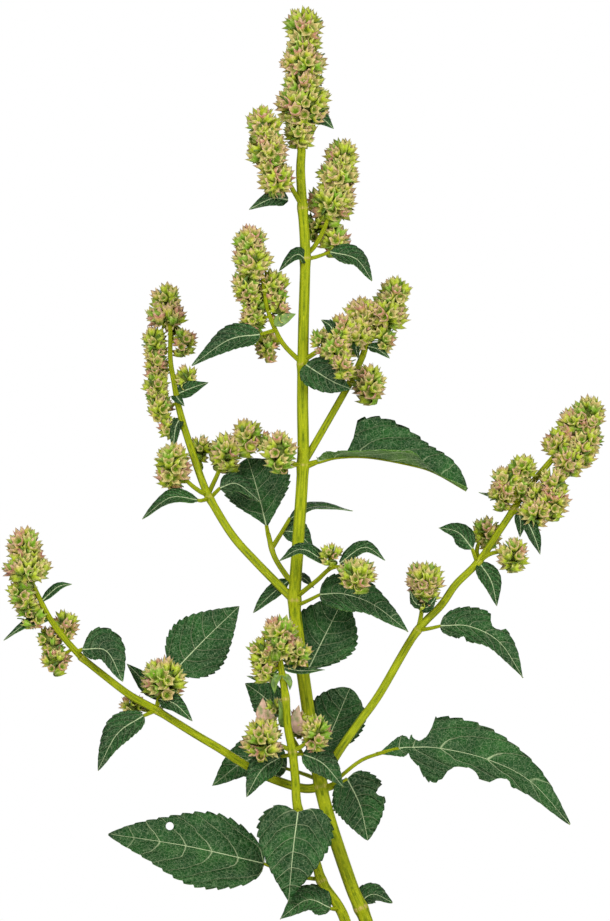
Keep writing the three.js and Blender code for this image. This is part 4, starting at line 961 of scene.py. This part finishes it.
# A whorl is its place, its reach to the sides and half its height, and smaller ones fill the gaps of a
# spike. A head grows on the stem that it names, and its blades are leaves unless their look says bract.
# A look is the place in head_finishes of the finish for a blade's upper side.
LEAF, FRESH_BRACT, DRY_BRACT = 2, 4, 6
HEADS = {
    "head_top": dict(
        on="main_stem",
        stalk=[[-24.2, 0, 543.5], [-25, 0, 554], [-23.5, 0, 568.5], [-23, 0, 589.5], [-23, 0, 606]],
        spikes=[
            [[-25, 0, 554, 8.5, 8], [-23.5, 0, 568.5, 14, 11.5], [-23, 0, 589.5, 12, 9.5],
             [-23, 0, 607, 10.5, 9.5]],
        ],
        blades=[
            dict(rib=[[-21, -2, 563], [-15, -3, 561.5], [-8, -2, 555.5]],
                 width=9, face=[0.1, -0.95, 0.2], teeth=3),
        ],
    ),
    "head_top_left": dict(
        on="main_stem",
        stalk=[[-23.9, 0, 517], [-28, -5, 524], [-34, -11, 535], [-39, -14, 545], [-43.5, -14, 558]],
        spikes=[[[-36.5, -14, 530.5, 9.5, 9.5], [-41, -15, 545, 11, 9], [-43.5, -14, 557.5, 9, 9]]],
        blades=[
            dict(rib=[[-31, -6, 520], [-39, -9, 520.5], [-50.5, -12, 515]],
                 width=9.5, face=[-0.1, -0.95, 0.3], teeth=4),
        ],
    ),
    "head_top_right": dict(
        on="main_stem",
        stalk=[[-22.4, 0, 492], [-17, 5, 498], [-11.7, 8, 508.7], [-8, 11, 522], [-5, 12, 545]],
        spikes=[[[-9, 12, 519.5, 13, 10], [-6, 12, 533, 11, 8], [-4, 12, 543.5, 8, 8]]],
        whorls=[[-17.5, 15, 507, 6.5, 7], [-7.5, 13, 501, 8.5, 7.5]],
    ),
    "head_upper_left": dict(
        on="main_stem",
        stalk=[
            [-23.6, 0, 438], [-33, -4, 447.5], [-38.2, -8, 457], [-41.5, -11, 466.5],
            [-42.7, -13, 474.5], [-44.5, -15, 485], [-49, -16, 500],
        ],
        spikes=[
            [[-49, -15.5, 490, 10.5, 7.5], [-50, -16, 500, 8.5, 7]],
            [[-48.5, -5, 459, 7, 5], [-47.5, -8, 467.5, 6.5, 5], [-52, -13, 478, 7.5, 6.5]],
            [[-35.5, -8, 465.5, 5.5, 6.5], [-38.5, -10.5, 478.5, 7, 7]],
        ],
        whorls=[[-41, 2, 447.5, 6, 6.5]],
        blades=[
            dict(rib=[[-38, -9, 457.5], [-33, -10, 460.5], [-27, -8, 463]],
                 width=6.5, face=[0, -0.95, 0.2], teeth=2, look=FRESH_BRACT),
        ],
    ),
    "head_upper_right": dict(
        on="upper_right_branch",
        stalk=[[6.4, 20.8, 442], [10, 23, 453], [15, 25, 463], [23, 27, 474]],
        spikes=[
            [[17.5, 26, 463.5, 12, 9], [22.5, 27, 474.5, 8.5, 8]],
            [[3, 22, 452, 10, 7.5], [6, 24, 464, 9.5, 7.5]],
        ],
        whorls=[[17, 24, 451.5, 6.5, 6.5]],
        blades=[
            dict(rib=[[6.5, 20, 446], [3, 14, 447], [4.5, 9, 440]],
                 width=5, face=[0, -0.9, 0.4], teeth=2),
            dict(rib=[[9, 21, 447], [14, 20, 445.5], [20, 19, 441]],
                 width=6, face=[0.3, -0.8, 0.4], teeth=3),
        ],
    ),
    "head_middle_right": dict(
        on="main_stem",
        stalk=[[-23.6, 0, 439.5], [-16, -6, 444.5], [-9, -11, 449.5], [-5.5, -12, 455]],
        spikes=[[[-3, -15, 437, 5.5, 5.5], [-7, -12, 446, 7, 6], [-5, -10, 456.5, 6, 6]]],
        whorls=[[-14, -7, 450, 5, 5]],
        blades=[
            dict(rib=[[-7, -11.5, 452], [-10, -13, 457], [-14.5, -13, 460]],
                 width=6, face=[-0.2, -0.9, 0.2], teeth=2),
        ],
    ),
    "head_small_right": dict(
        on="upper_right_branch",
        stalk=[[0, 14.5, 429], [4, 11, 428.5], [9, 8, 429]],
        whorls=[[9.5, 7.5, 429, 9, 9.5]],
    ),
    "head_left_spike": dict(
        on="left_upper_branch",
        stalk=[
            [-83.2, 28.5, 406.3], [-86.3, 32, 418], [-88.2, 35, 428.5], [-90.2, 39, 440],
            [-90.4, 43.5, 457], [-92, 47, 470],
        ],
        spikes=[
            [[-92.5, 47, 463, 10.5, 7], [-92.5, 48, 472.5, 7, 7]],
            [[-95, 34, 416.5, 6, 6.5], [-97.5, 38, 427.5, 6, 6], [-97, 41, 438, 6, 6],
             [-98.5, 44, 450, 6.5, 7]],
        ],
        whorls=[[-83.5, 43, 450, 5.5, 6.5], [-82.5, 37, 431, 5, 6], [-91, 31, 406.5, 4.5, 4]],
        blades=[
            dict(rib=[[-87, 33.5, 423], [-80, 32, 426], [-71, 31, 429]],
                 width=8.5, face=[0, -0.95, 0.2], teeth=3),
            dict(rib=[[-87, 31.5, 422], [-86.5, 27, 421], [-83, 25, 417]],
                 width=6, face=[0, -0.9, 0.3], teeth=2),
            dict(rib=[[-85, 30, 411], [-87.5, 26, 406], [-89, 24, 392]],
                 width=6.5, face=[-0.2, -0.9, 0.2], teeth=3),
        ],
    ),
    "head_left_low": dict(
        on="left_upper_branch",
        stalk=[[-71, 15, 372.5], [-75.5, 12, 374.5], [-82, 11, 380], [-88, 12, 389]],
        whorls=[[-88.5, 12, 387.5, 9.5, 12.5]],
    ),
    "head_left_inner": dict(
        on="left_upper_branch",
        stalk=[
            [-71, 15, 372.5], [-70, 17, 375], [-66.5, 21, 382.5], [-63, 23, 391], [-56.5, 23, 399],
            [-50, 23, 403],
        ],
        whorls=[
            [-62.5, 23, 394.5, 8.5, 10], [-51.5, 23, 402, 8.5, 9.5], [-43.5, 20, 399.5, 3.5, 4],
            [-75, 32, 396, 5, 6],
        ],
    ),
    "head_beside_stem": dict(
        on="main_stem",
        stalk=[[-23.5, 0, 387.5], [-29, -5, 388.5], [-35, -8, 394]],
        whorls=[[-35, -8, 394.5, 8.5, 10.5]],
    ),
    "head_centre": dict(
        on="main_stem",
        stalk=[[-27.5, 0, 321], [-17, -12, 329.5], [-8.5, -21, 336.5], [2, -27, 335.5]],
        whorls=[[4, -28, 334, 10, 8], [-10, -22, 343.5, 4.5, 4]],
        blades=[
            dict(rib=[[-11, -20, 338], [-24, -23, 345.5], [-35.5, -21, 339.5]],
                 width=9, face=[0, -0.7, 0.7], teeth=4),
            dict(rib=[[-5, -23, 338.5], [7, -24, 346.5], [17.5, -22, 340]],
                 width=9, face=[0, -0.7, 0.7], teeth=4),
        ],
    ),
    "head_far_left": dict(
        on="left_lower_branch",
        stalk=[
            [-133.4, -40.3, 291.8], [-141.5, -44, 301], [-148.5, -47, 310.5], [-154, -50, 321],
            [-158, -52, 329.5], [-160.6, -53, 333.5], [-161.5, -55, 349],
        ],
        spikes=[
            [[-160, -54, 336.5, 12, 7.5], [-161.5, -55, 348.5, 9.5, 8]],
            [[-158, -46, 313.5, 6.5, 6.5], [-163, -51, 324, 8, 6.5]],
            [[-146, -38, 291.5, 7, 6], [-149.5, -41, 301.5, 5, 5]],
        ],
        whorls=[[-142, -37, 308, 6.5, 7]],
        blades=[
            dict(rib=[[-153, -50, 320], [-145, -51, 327], [-138, -50, 328.5]],
                 width=5, face=[0.2, -0.8, 0.6], teeth=3),
            dict(rib=[[-149, -47, 311], [-160, -47, 309], [-172, -49, 300.5]],
                 width=6, face=[-0.2, -0.8, 0.6], teeth=3),
        ],
    ),
    "head_left_node": dict(
        on="left_lower_branch",
        stalk=[[-96.5, -26, 265.5], [-95, -26, 273], [-93, -26, 282]],
        whorls=[[-93, -26, 281.5, 12, 11]],
        blades=[
            dict(rib=[[-96, -25, 271], [-103, -18, 280], [-111.5, -15, 288.5]],
                 width=9, face=[0, -0.9, 0.2], teeth=3),
            dict(rib=[[-95, -27, 271], [-87, -31, 268.5], [-78.5, -30, 260]],
                 width=10, face=[0.2, -0.9, 0.3], teeth=3),
        ],
    ),
    "head_left_tuft": dict(
        on="left_lower_branch",
        stalk=[[-96.5, -26, 265.5], [-102, -23, 265.5], [-108, -22, 267]],
        whorls=[[-108.5, -22, 267.5, 5.5, 4.5]],
    ),
    "head_right_node": dict(
        on="right_branch",
        stalk=[[34.3, 20.8, 304.8], [36, 20, 314], [37, 20, 328]],
        spikes=[[[37.5, 20, 323, 7, 5], [37.5, 20, 331, 10.5, 9]]],
        blades=[
            dict(rib=[[36.3, 19.5, 316], [39.5, 16, 316.5], [43.5, 15, 322]],
                 width=6, face=[0.2, -0.9, 0.2], teeth=2),
            dict(rib=[[36.3, 19.5, 317], [32.5, 16, 318.5], [30, 15, 325]],
                 width=5, face=[-0.2, -0.9, 0.2], teeth=2),
        ],
    ),
    "head_right_behind": dict(
        on="right_branch",
        stalk=[[64.8, 32, 339], [64, 38, 345], [67, 43, 353]],
        whorls=[[69, 43, 354, 8, 7.5]],
    ),
    "head_right_below": dict(
        on="right_branch",
        stalk=[[64.8, 32, 339], [71, 29.5, 343], [82, 29, 345]],
        whorls=[[82, 29, 343, 8, 9]],
    ),
    "head_right_upper": dict(
        on="right_branch",
        stalk=[[83.8, 39.5, 367.2], [83, 34.5, 374], [86, 33, 381], [87, 34, 388]],
        spikes=[[[76.5, 36, 372, 6.5, 6], [79, 35, 380, 8.5, 7]]],
        whorls=[[87, 35, 386.5, 7, 6.5], [86, 37, 377, 6.5, 6.5]],
        blades=[
            dict(rib=[[80.5, 35.5, 369.5], [74, 43, 371], [65, 45, 373.7]],
                 width=4.5, face=[0, -0.5, 0.8], teeth=3),
        ],
    ),
    "head_right_lower": dict(
        on="right_branch",
        stalk=[[81.4, 38.6, 363.6], [87, 35, 364.3], [93, 34, 366.5], [101, 35, 372], [102.5, 35, 379]],
        spikes=[[[102, 36, 369.5, 9, 8], [102.5, 35, 380, 7, 6.5]]],
        whorls=[[92.5, 34, 364, 9, 8.5], [94, 36, 372, 7, 7]],
        blades=[
            dict(rib=[[87, 34, 364], [92.5, 30, 352], [95.7, 29, 342.5]],
                 width=7.5, face=[0.2, -0.9, 0.2], teeth=4),
            dict(rib=[[85, 35.5, 364.5], [86, 33, 358], [85.5, 32, 351]],
                 width=6, face=[-0.2, -0.9, 0.2], teeth=3),
        ],
    ),
    "head_right_spike": dict(
        on="right_branch",
        stalk=[
            [97.3, 43.9, 384.8], [103.8, 46, 392.5], [109.9, 48, 399.5], [116, 50, 408], [120, 50, 414],
        ],
        spikes=[[[119, 49, 400.5, 9.5, 9], [120.5, 50, 414, 9, 9]]],
        whorls=[
            [105.5, 48, 399.5, 8, 7], [112, 49, 409.5, 7.5, 7.5], [110.5, 45, 390, 9, 7.5],
            [116, 48, 395, 8, 7],
        ],
    ),
    "head_front": dict(
        on="front_stem",
        stalk=[[-33.9, -28.3, 283.2], [-35, -30, 292], [-35.3, -30, 304]],
        spikes=[[[-42, -27, 286, 7, 5], [-43.5, -28, 295, 8, 7]]],
        whorls=[[-35, -28, 303.5, 9.5, 9.5], [-27, -27, 294, 7.2, 7], [-35, -33, 297, 7, 5]],
        blades=[
            dict(rib=[[-34.5, -29, 284], [-37.5, -30, 280], [-37.5, -29, 273.5]],
                 width=5, face=[-0.5, -0.9, 0.1], teeth=2, look=FRESH_BRACT),
            dict(rib=[[-34, -29, 284], [-30.5, -30, 280], [-30, -29, 275.5]],
                 width=4, face=[0.5, -0.8, 0.1], teeth=2, look=FRESH_BRACT),
            dict(rib=[[-34.5, -29, 287], [-25, -27, 285], [-12.5, -24, 285.5]],
                 width=6, face=[0, -0.7, 0.7], teeth=3),
            dict(rib=[[-35, -29, 287], [-43, -26, 280.5], [-51.5, -25, 282.5]],
                 width=4.5, face=[0, -0.7, 0.7], teeth=3),
        ],
    ),
    "head_front_left": dict(
        on="front_stem",
        stalk=[[-28.8, -20, 245], [-35, -22.5, 248], [-43, -24, 252]],
        whorls=[[-43.5, -24, 252, 10.5, 10.5], [-38, -16, 266, 4.5, 4.5]],
        blades=[
            dict(rib=[[-37, -19, 257], [-43, -19, 263], [-43.5, -18, 271.5]],
                 width=9, face=[-0.2, -0.9, 0], teeth=2, look=DRY_BRACT),
            dict(rib=[[-34, -21, 257], [-33, -24, 264], [-36, -24, 271]],
                 width=6, face=[0.1, -0.9, 0], teeth=2, look=FRESH_BRACT),
        ],
    ),
    "head_front_right": dict(
        on="front_stem",
        stalk=[[-28.8, -20, 245], [-24, -22, 247.5], [-18, -22, 253]],
        whorls=[[-17.5, -22, 254.5, 8, 9.5], [-26, -13, 259, 4.5, 7]],
        blades=[
            dict(rib=[[-24, -18, 253], [-27, -19, 260], [-25.5, -18, 268]],
                 width=7.5, face=[0, -0.9, 0], teeth=2, look=DRY_BRACT),
        ],
    ),
}
HEAD_SEED = 100
CARRIER_REACH = 3
TWIG_REACH = 1.5
TWIG_RADII = (0.9, 0.7)
STALK_SAMPLES = 24
CALYX_LENGTH = 8.2
CALYX_PITCH = 5.4
CALYX_SIDES = 10
CALYX_BASE = 0.09
CALYX_SPANS = [(0.14, 2.4), (0.28, 1.34), (0.27, 1.08)]
CALYX_MOUTH = 0.69
CALYX_LIP = 0.05
THROAT_DEPTH = 0.2
THROAT_SHARE = 0.5
TOOTH_SPREAD = 1.16
RIDGE_SHARE = 1.1
FURROW_SHARE = 0.9
NEAR = 0.01
MAP_TIP = 0.8
MAP_LIP = 0.9
MAP_THROAT = 1.0
SMALL_SHARE = 0.6
SMALL_SWELL = 3.6
LENGTH_SHARE = 0.88
CORE_SHARE = 0.72
LEAST_CORE = 0.3
CORE_SHADE_PLACE = (0.5, 0.05)
CORE_TONE = 0.2
FILLER_SHARE = 0.8
SKIN_SHARE = 0.86
FEWEST = 7
GOLDEN_TURN = math.pi * (3 - math.sqrt(5))
TURN_SPREAD = 0.15
LEAN_SPREAD = 0.3
LEAN_UP = 0.3
LEAN_BELOW = 0.55
CALYX_SIZES = (0.85, 1.1)
CALYX_DEPTHS = (0.9, 1.06)
CALYX_GIRTHS = (0.9, 1.15)
BRACT_EVERY = 7
BRACT_FIRST = 3
BRACT_SHARE = 0.9
BRACT_ROWS = [(0, 0.06, 0), (0.3, 0.2, 0.03), (0.65, 0.17, 0.0), (1.0, 0.0, -0.1)]
BRACT_KEEL = 0.06
BRACT_THICKNESS = 0.05
CALYX_GREEN = (0.1, 0.19, 0.002)
CALYX_YELLOW = (0.3, 0.38, 0.01)
CALYX_VIVID = (0.12, 0.27, 0.006)
CALYX_SHADE = (0.02, 0.036, 0.0005)
CALYX_TAN = (0.4, 0.33, 0.07)
CALYX_PINK = (0.34, 0.1, 0.1)
CALYX_CREAM = (0.56, 0.52, 0.2)
CALYX_BLUSH = (0.58, 0.34, 0.28)
THROAT = (0.42, 0.3, 0.12)
CALYX_LOOKS = {
    "fresh": [(0.45, CALYX_YELLOW), (0.62, CALYX_YELLOW), (0.76, CALYX_CREAM)],
    "vivid": [(0.4, CALYX_VIVID), (0.6, CALYX_VIVID), (0.78, CALYX_CREAM)],
    "faded": [(0.4, CALYX_YELLOW), (0.58, CALYX_TAN), (0.76, CALYX_BLUSH)],
    "rosy": [(0.36, CALYX_TAN), (0.58, CALYX_PINK), (0.78, CALYX_BLUSH)],
}
LOOK_STARTS = {"vivid": 0.3, "fresh": 0.5, "faded": 0.62, "rosy": 0.86}
LOOK_BLEND = 0.03
RIDGE_CREAM = 0.3
BRACT_GREEN = (0.12, 0.21, 0.02)
BRACT_DARK = (0.05, 0.1, 0.012)
DRY_DARK = (0.16, 0.17, 0.05)
DRY_ROSE = (0.42, 0.26, 0.18)


def model_calyx():
    """One calyx, 1 long on the origin: a vase drawn up ring by ring, hollowed, and cut into five teeth"""
    bpy.ops.object.select_all(action="DESELECT")
    bpy.ops.mesh.primitive_circle_add(vertices=CALYX_SIDES, radius=CALYX_BASE, fill_type="NGON")
    bpy.ops.object.mode_set(mode="EDIT")
    for rise, spread in CALYX_SPANS:
        bpy.ops.mesh.extrude_region_move(TRANSFORM_OT_translate={"value": (0, 0, rise)})
        bpy.ops.transform.resize(value=(spread, spread, 1))
    bpy.ops.mesh.inset(thickness=CALYX_LIP)
    bpy.ops.mesh.extrude_region_move(TRANSFORM_OT_translate={"value": (0, 0, -THROAT_DEPTH)})
    bpy.ops.transform.resize(value=(THROAT_SHARE, THROAT_SHARE, 1))
    bpy.ops.object.mode_set(mode="OBJECT")
    corners, faces = taken_apart(bpy.context.object)
    rim_radius = max(corner.xy.length for corner in corners)
    points, places = [], []
    for place in corners:
        ridge = round(math.atan2(place.y, place.x) / (2 * math.pi / CALYX_SIDES) - 0.5) % 2 == 0
        on_top = place.z > CALYX_MOUTH - NEAR
        on_rim = on_top and place.xy.length > rim_radius - NEAR
        in_throat = CALYX_MOUTH - THROAT_DEPTH - NEAR < place.z < CALYX_MOUTH - NEAR
        height = MAP_TIP * place.z
        if on_rim and ridge:
            place = Vector((place.x * TOOTH_SPREAD, place.y * TOOTH_SPREAD, 1))
            height = MAP_TIP
        elif in_throat:
            height = MAP_THROAT
        elif on_top and not on_rim:
            height = MAP_LIP
        elif not on_rim:
            place.xy *= RIDGE_SHARE if ridge else FURROW_SHARE
        points.append(place)
        places.append((1.0 if ridge else 0.0, height))
    return points, faces, places


def model_core():
    """The ball that a whorl's calyxes stand on, 1 in radius"""
    bpy.ops.object.select_all(action="DESELECT")
    bpy.ops.mesh.primitive_ico_sphere_add(subdivisions=2, radius=1)
    return taken_apart(bpy.context.object)


def add_core(shape, centre, flat, tall):
    balls, faces = core_model
    points = [centre + Vector((ball.x * flat, ball.y * flat, ball.z * tall)) for ball in balls]
    # The core takes the darkest place on the calyx map: painted shade in the gaps between the calyxes
    shape.add(points, faces, [CORE_SHADE_PLACE] * len(points), [CORE_TONE] * len(points))


def add_bract(shape, root, turn, size, tone):
    """Adds a small keeled bract that stands among the calyxes"""
    points, places = [], []
    for rise, half, bow in BRACT_ROWS:
        for side, lift in ((-half, BRACT_KEEL), (0, 0.0), (half, BRACT_KEEL)):
            points.append(root + turn @ (Vector((side, bow + lift, rise)) * size))
            places.append((0.5 + side, 0.3 * rise))
    back = [point - turn @ Vector((0, BRACT_THICKNESS * size, 0)) for point in points]
    sheet(shape, points, back, 3, places, tone, FRESH_BRACT, FRESH_BRACT)


def add_whorl(shape, rand, lobe):
    """Adds a core, and calyxes spread evenly over an egg shape that point out and a little up"""
    *centre, reach, half = lobe
    centre = Vector(centre)
    reach = max(reach, SMALL_SHARE * reach + SMALL_SWELL)
    half = max(half, SMALL_SHARE * half + SMALL_SWELL)
    length = min(CALYX_LENGTH, LENGTH_SHARE * reach)
    sunk = CORE_SHARE * length
    add_core(shape, centre, reach - sunk, max(LEAST_CORE * half, half - sunk))
    middle = SKIN_SHARE * (2 * reach + half) / 3
    count = max(FEWEST, round(4 * math.pi * middle**2 / CALYX_PITCH**2))
    start = rand.uniform(0, 2 * math.pi)
    for index in range(count):
        level = 1 - 2 * (index + 0.5) / count
        flat = math.sqrt(1 - level**2)
        angle = start + GOLDEN_TURN * index + rand.uniform(-TURN_SPREAD, TURN_SPREAD)
        out = Vector((flat * math.cos(angle), flat * math.sin(angle), level))
        skin = Vector((out.x * reach, out.y * reach, out.z * half))
        slope = Vector((out.x / reach, out.y / reach, out.z / half)).normalized()
        jitter = Vector([rand.uniform(-1, 1) for _ in range(3)]) * LEAN_SPREAD
        lean = (slope + Vector((0, 0, LEAN_UP + LEAN_BELOW * max(0, -level))) + jitter).normalized()
        size = length * rand.uniform(*CALYX_SIZES)
        root = centre + skin * rand.uniform(*CALYX_DEPTHS) - lean * size
        tone = rand.random()
        turn = lean.to_track_quat("Z", "Y")
        if index % BRACT_EVERY == BRACT_FIRST:
            add_bract(shape, root, turn, size * BRACT_SHARE, tone)
            continue
        points, faces, places = calyx_model
        girth = size * rand.uniform(*CALYX_GIRTHS)
        grown = [Vector((point.x * girth, point.y * girth, point.z * size)) for point in points]
        shape.add([root + turn @ point for point in grown], faces, places, [tone] * len(points))


def calyx_finish():
    """Four looks by tone, each from a base in painted shade through its own colours to a tan throat"""
    material, tree, shader = new_material("calyx", 0.6, JUICY_SHINE)
    places = tree.nodes.new("ShaderNodeTexCoord").outputs
    tone = node(tree, "ShaderNodeAttribute", attribute_name="tone").outputs["Fac"]
    split = node(tree, "ShaderNodeSeparateXYZ", _0=places["UV"])
    # The dark foot of each calyx is painted shade where the calyxes crowd round their core
    base, throat = [(0.0, CALYX_SHADE), (0.16, CALYX_GREEN)], [(MAP_LIP, THROAT), (MAP_THROAT, CALYX_GREEN)]
    looks = {}
    for name, stops in CALYX_LOOKS.items():
        looks[name] = ramp(tree, split.outputs["Y"], [*base, *stops, *throat])
    colour = looks["fresh"]
    for name, start in LOOK_STARTS.items():
        colour = mixed(tree, mask(tree, tone, start, start + LOOK_BLEND), colour, looks[name])
    ridge = calc(tree, "MULTIPLY", split.outputs["X"], RIDGE_CREAM)
    colour = mixed(tree, ridge, colour, CALYX_CREAM)
    mottle = noise(tree, places["Object"], scale=900, detail=3)
    shade = ramp(tree, mottle, [(0.3, (0.6, 0.62, 0.5)), (0.6, (1, 1, 1))])
    colour = mixed(tree, 1.0, colour, shade, "MULTIPLY")
    cover(tree, shader, colour, mottle, strength=0.4, distance=0.3 * MM)
    return material


def bract_finish(name, dark, light):
    material, tree, shader = new_material(name, 0.5)
    place = tree.nodes.new("ShaderNodeTexCoord").outputs["Object"]
    patches = noise(tree, place, scale=400, detail=3)
    colour = ramp(tree, patches, [(0.35, dark), (0.6, light)])
    cover(tree, shader, colour, patches, strength=0.4, distance=0.3 * MM)
    return material


calyx_model = model_calyx()
core_model = model_core()
fresh_bract = bract_finish("green_bract", BRACT_DARK, BRACT_GREEN)
dry_bract = bract_finish("dry_bract", DRY_DARK, DRY_ROSE)
head_finishes = [
    calyx_finish(), stem_green, leaf_upper, leaf_under, fresh_bract, fresh_bract, dry_bract, dry_bract
]


def nearest_place(points, target):
    """The place on a stalk that is nearest to a whorl beside it"""
    curve = [Vector(point) for point in points]
    samples = [along_curve(curve, step / STALK_SAMPLES)[0] for step in range(STALK_SAMPLES + 1)]
    return min(samples, key=lambda place: (place - target).length)


def make_heads():
    stalk_finish = head_finishes.index(stem_green)
    for number, (name, parts) in enumerate(HEADS.items()):
        rand = random.Random(HEAD_SEED + number)
        shape = Shape()
        carrier, route = STEMS[parts["on"]], parts["stalk"]
        at_its_end = (Vector(route[0]) - Vector(carrier["points"][-1])).length < CARRIER_REACH
        thick = carrier["radii"][1] if at_its_end else STALK_RADII[0]
        stalk(shape, route, (thick, STALK_RADII[1]), stalk_finish)
        for lobes in parts.get("spikes", []) + [[lobe] for lobe in parts.get("whorls", [])]:
            centre = Vector(lobes[0][:3])
            root = nearest_place(route, centre)
            if (root - centre).length > TWIG_REACH:
                stalk(shape, [root, centre], TWIG_RADII, stalk_finish)
            for lobe in lobes:
                add_whorl(shape, rand, lobe)
            for below, above in zip(lobes, lobes[1:]):
                *centre, reach, half = [(low + high) / 2 for low, high in zip(below, above)]
                add_whorl(shape, rand, [*centre, reach * FILLER_SHARE, half * FILLER_SHARE])
        for blade in parts.get("blades", []):
            leaf_blade(shape, blade, blade.get("look", LEAF))
        shape.become(name + "_calyxes", head_finishes, "flower_head", name)


make_heads()

# A plain pale floor under the pot, soft studio light and a long lens at the photograph's level view.
# The photograph's frame is 610 by 921 pixels at half a millimetre a pixel, and the pot stands below it.
# The floor and the lights are placed in metres, and each light has its place, its size and its power.
FRAME_MIDDLE = (-22.5, 389.75)
FRAME_HEIGHT = 460.5
CAMERA_DISTANCE = 6000
SENSOR = 36
VIEW_LIMIT = 100
FLOOR_RADIUS = 1.6
FLOOR_SIDES = 96
FLOOR_COLOUR = (0.82, 0.82, 0.82)
SKY_LIGHT = 0.62
LIGHT_AIM = (0, 0, 0.35)
LIGHTS = {
    "key_light": ((-0.8, -1.9, 1.45), 0.8, 46),
    "fill_light": ((1.3, -1.7, 0.9), 1.0, 32),
    "back_light": ((0.4, 1.7, 1.5), 1.0, 22),
}


def make_floor():
    bpy.ops.object.select_all(action="DESELECT")
    bpy.ops.mesh.primitive_circle_add(vertices=FLOOR_SIDES, radius=FLOOR_RADIUS, fill_type="NGON")
    floor = bpy.context.object
    floor.name = "studio_floor"
    material, tree, shader = new_material("pale_floor", 0.9)
    shader.inputs["Base Color"].default_value = (*FLOOR_COLOUR, 1)
    floor.data.materials.append(material)


def make_sky():
    """White behind the plant, and an even light from all round"""
    world = bpy.data.worlds.new("studio")
    bpy.context.scene.world = world
    world.use_nodes = True
    tree = world.node_tree
    backdrop = tree.nodes["Background"]
    backdrop.inputs["Color"].default_value = (1, 1, 1, 1)
    backdrop.inputs["Strength"].default_value = 1
    glow = node(tree, "ShaderNodeBackground", _Strength=SKY_LIGHT)
    seen = tree.nodes.new("ShaderNodeLightPath").outputs["Is Camera Ray"]
    blend = node(tree, "ShaderNodeMixShader", _Fac=seen, _1=glow.outputs[0], _2=backdrop.outputs[0])
    tree.links.new(blend.outputs[0], tree.nodes["World Output"].inputs["Surface"])


def add_light(name, place, size, power):
    lamp = bpy.data.lights.new(name, "AREA")
    lamp.size = size
    lamp.energy = power
    light = bpy.data.objects.new(name, lamp)
    light.location = place
    aim = Vector(LIGHT_AIM) - light.location
    light.rotation_euler = aim.to_track_quat("-Z", "Y").to_euler()
    bpy.context.scene.collection.objects.link(light)


def make_camera():
    lens = bpy.data.cameras.new("long_lens")
    lens.sensor_width = SENSOR
    lens.lens = SENSOR * CAMERA_DISTANCE / FRAME_HEIGHT
    lens.clip_end = VIEW_LIMIT
    camera = bpy.data.objects.new("camera", lens)
    camera.location = (FRAME_MIDDLE[0] * MM, -CAMERA_DISTANCE * MM, FRAME_MIDDLE[1] * MM)
    camera.rotation_euler = (math.pi / 2, 0, 0)
    bpy.context.scene.collection.objects.link(camera)
    bpy.context.scene.camera = camera


make_floor()
make_sky()
for name, settings in LIGHTS.items():
    add_light(name, *settings)
make_camera()
bpy.context.scene.view_settings.view_transform = "Standard"
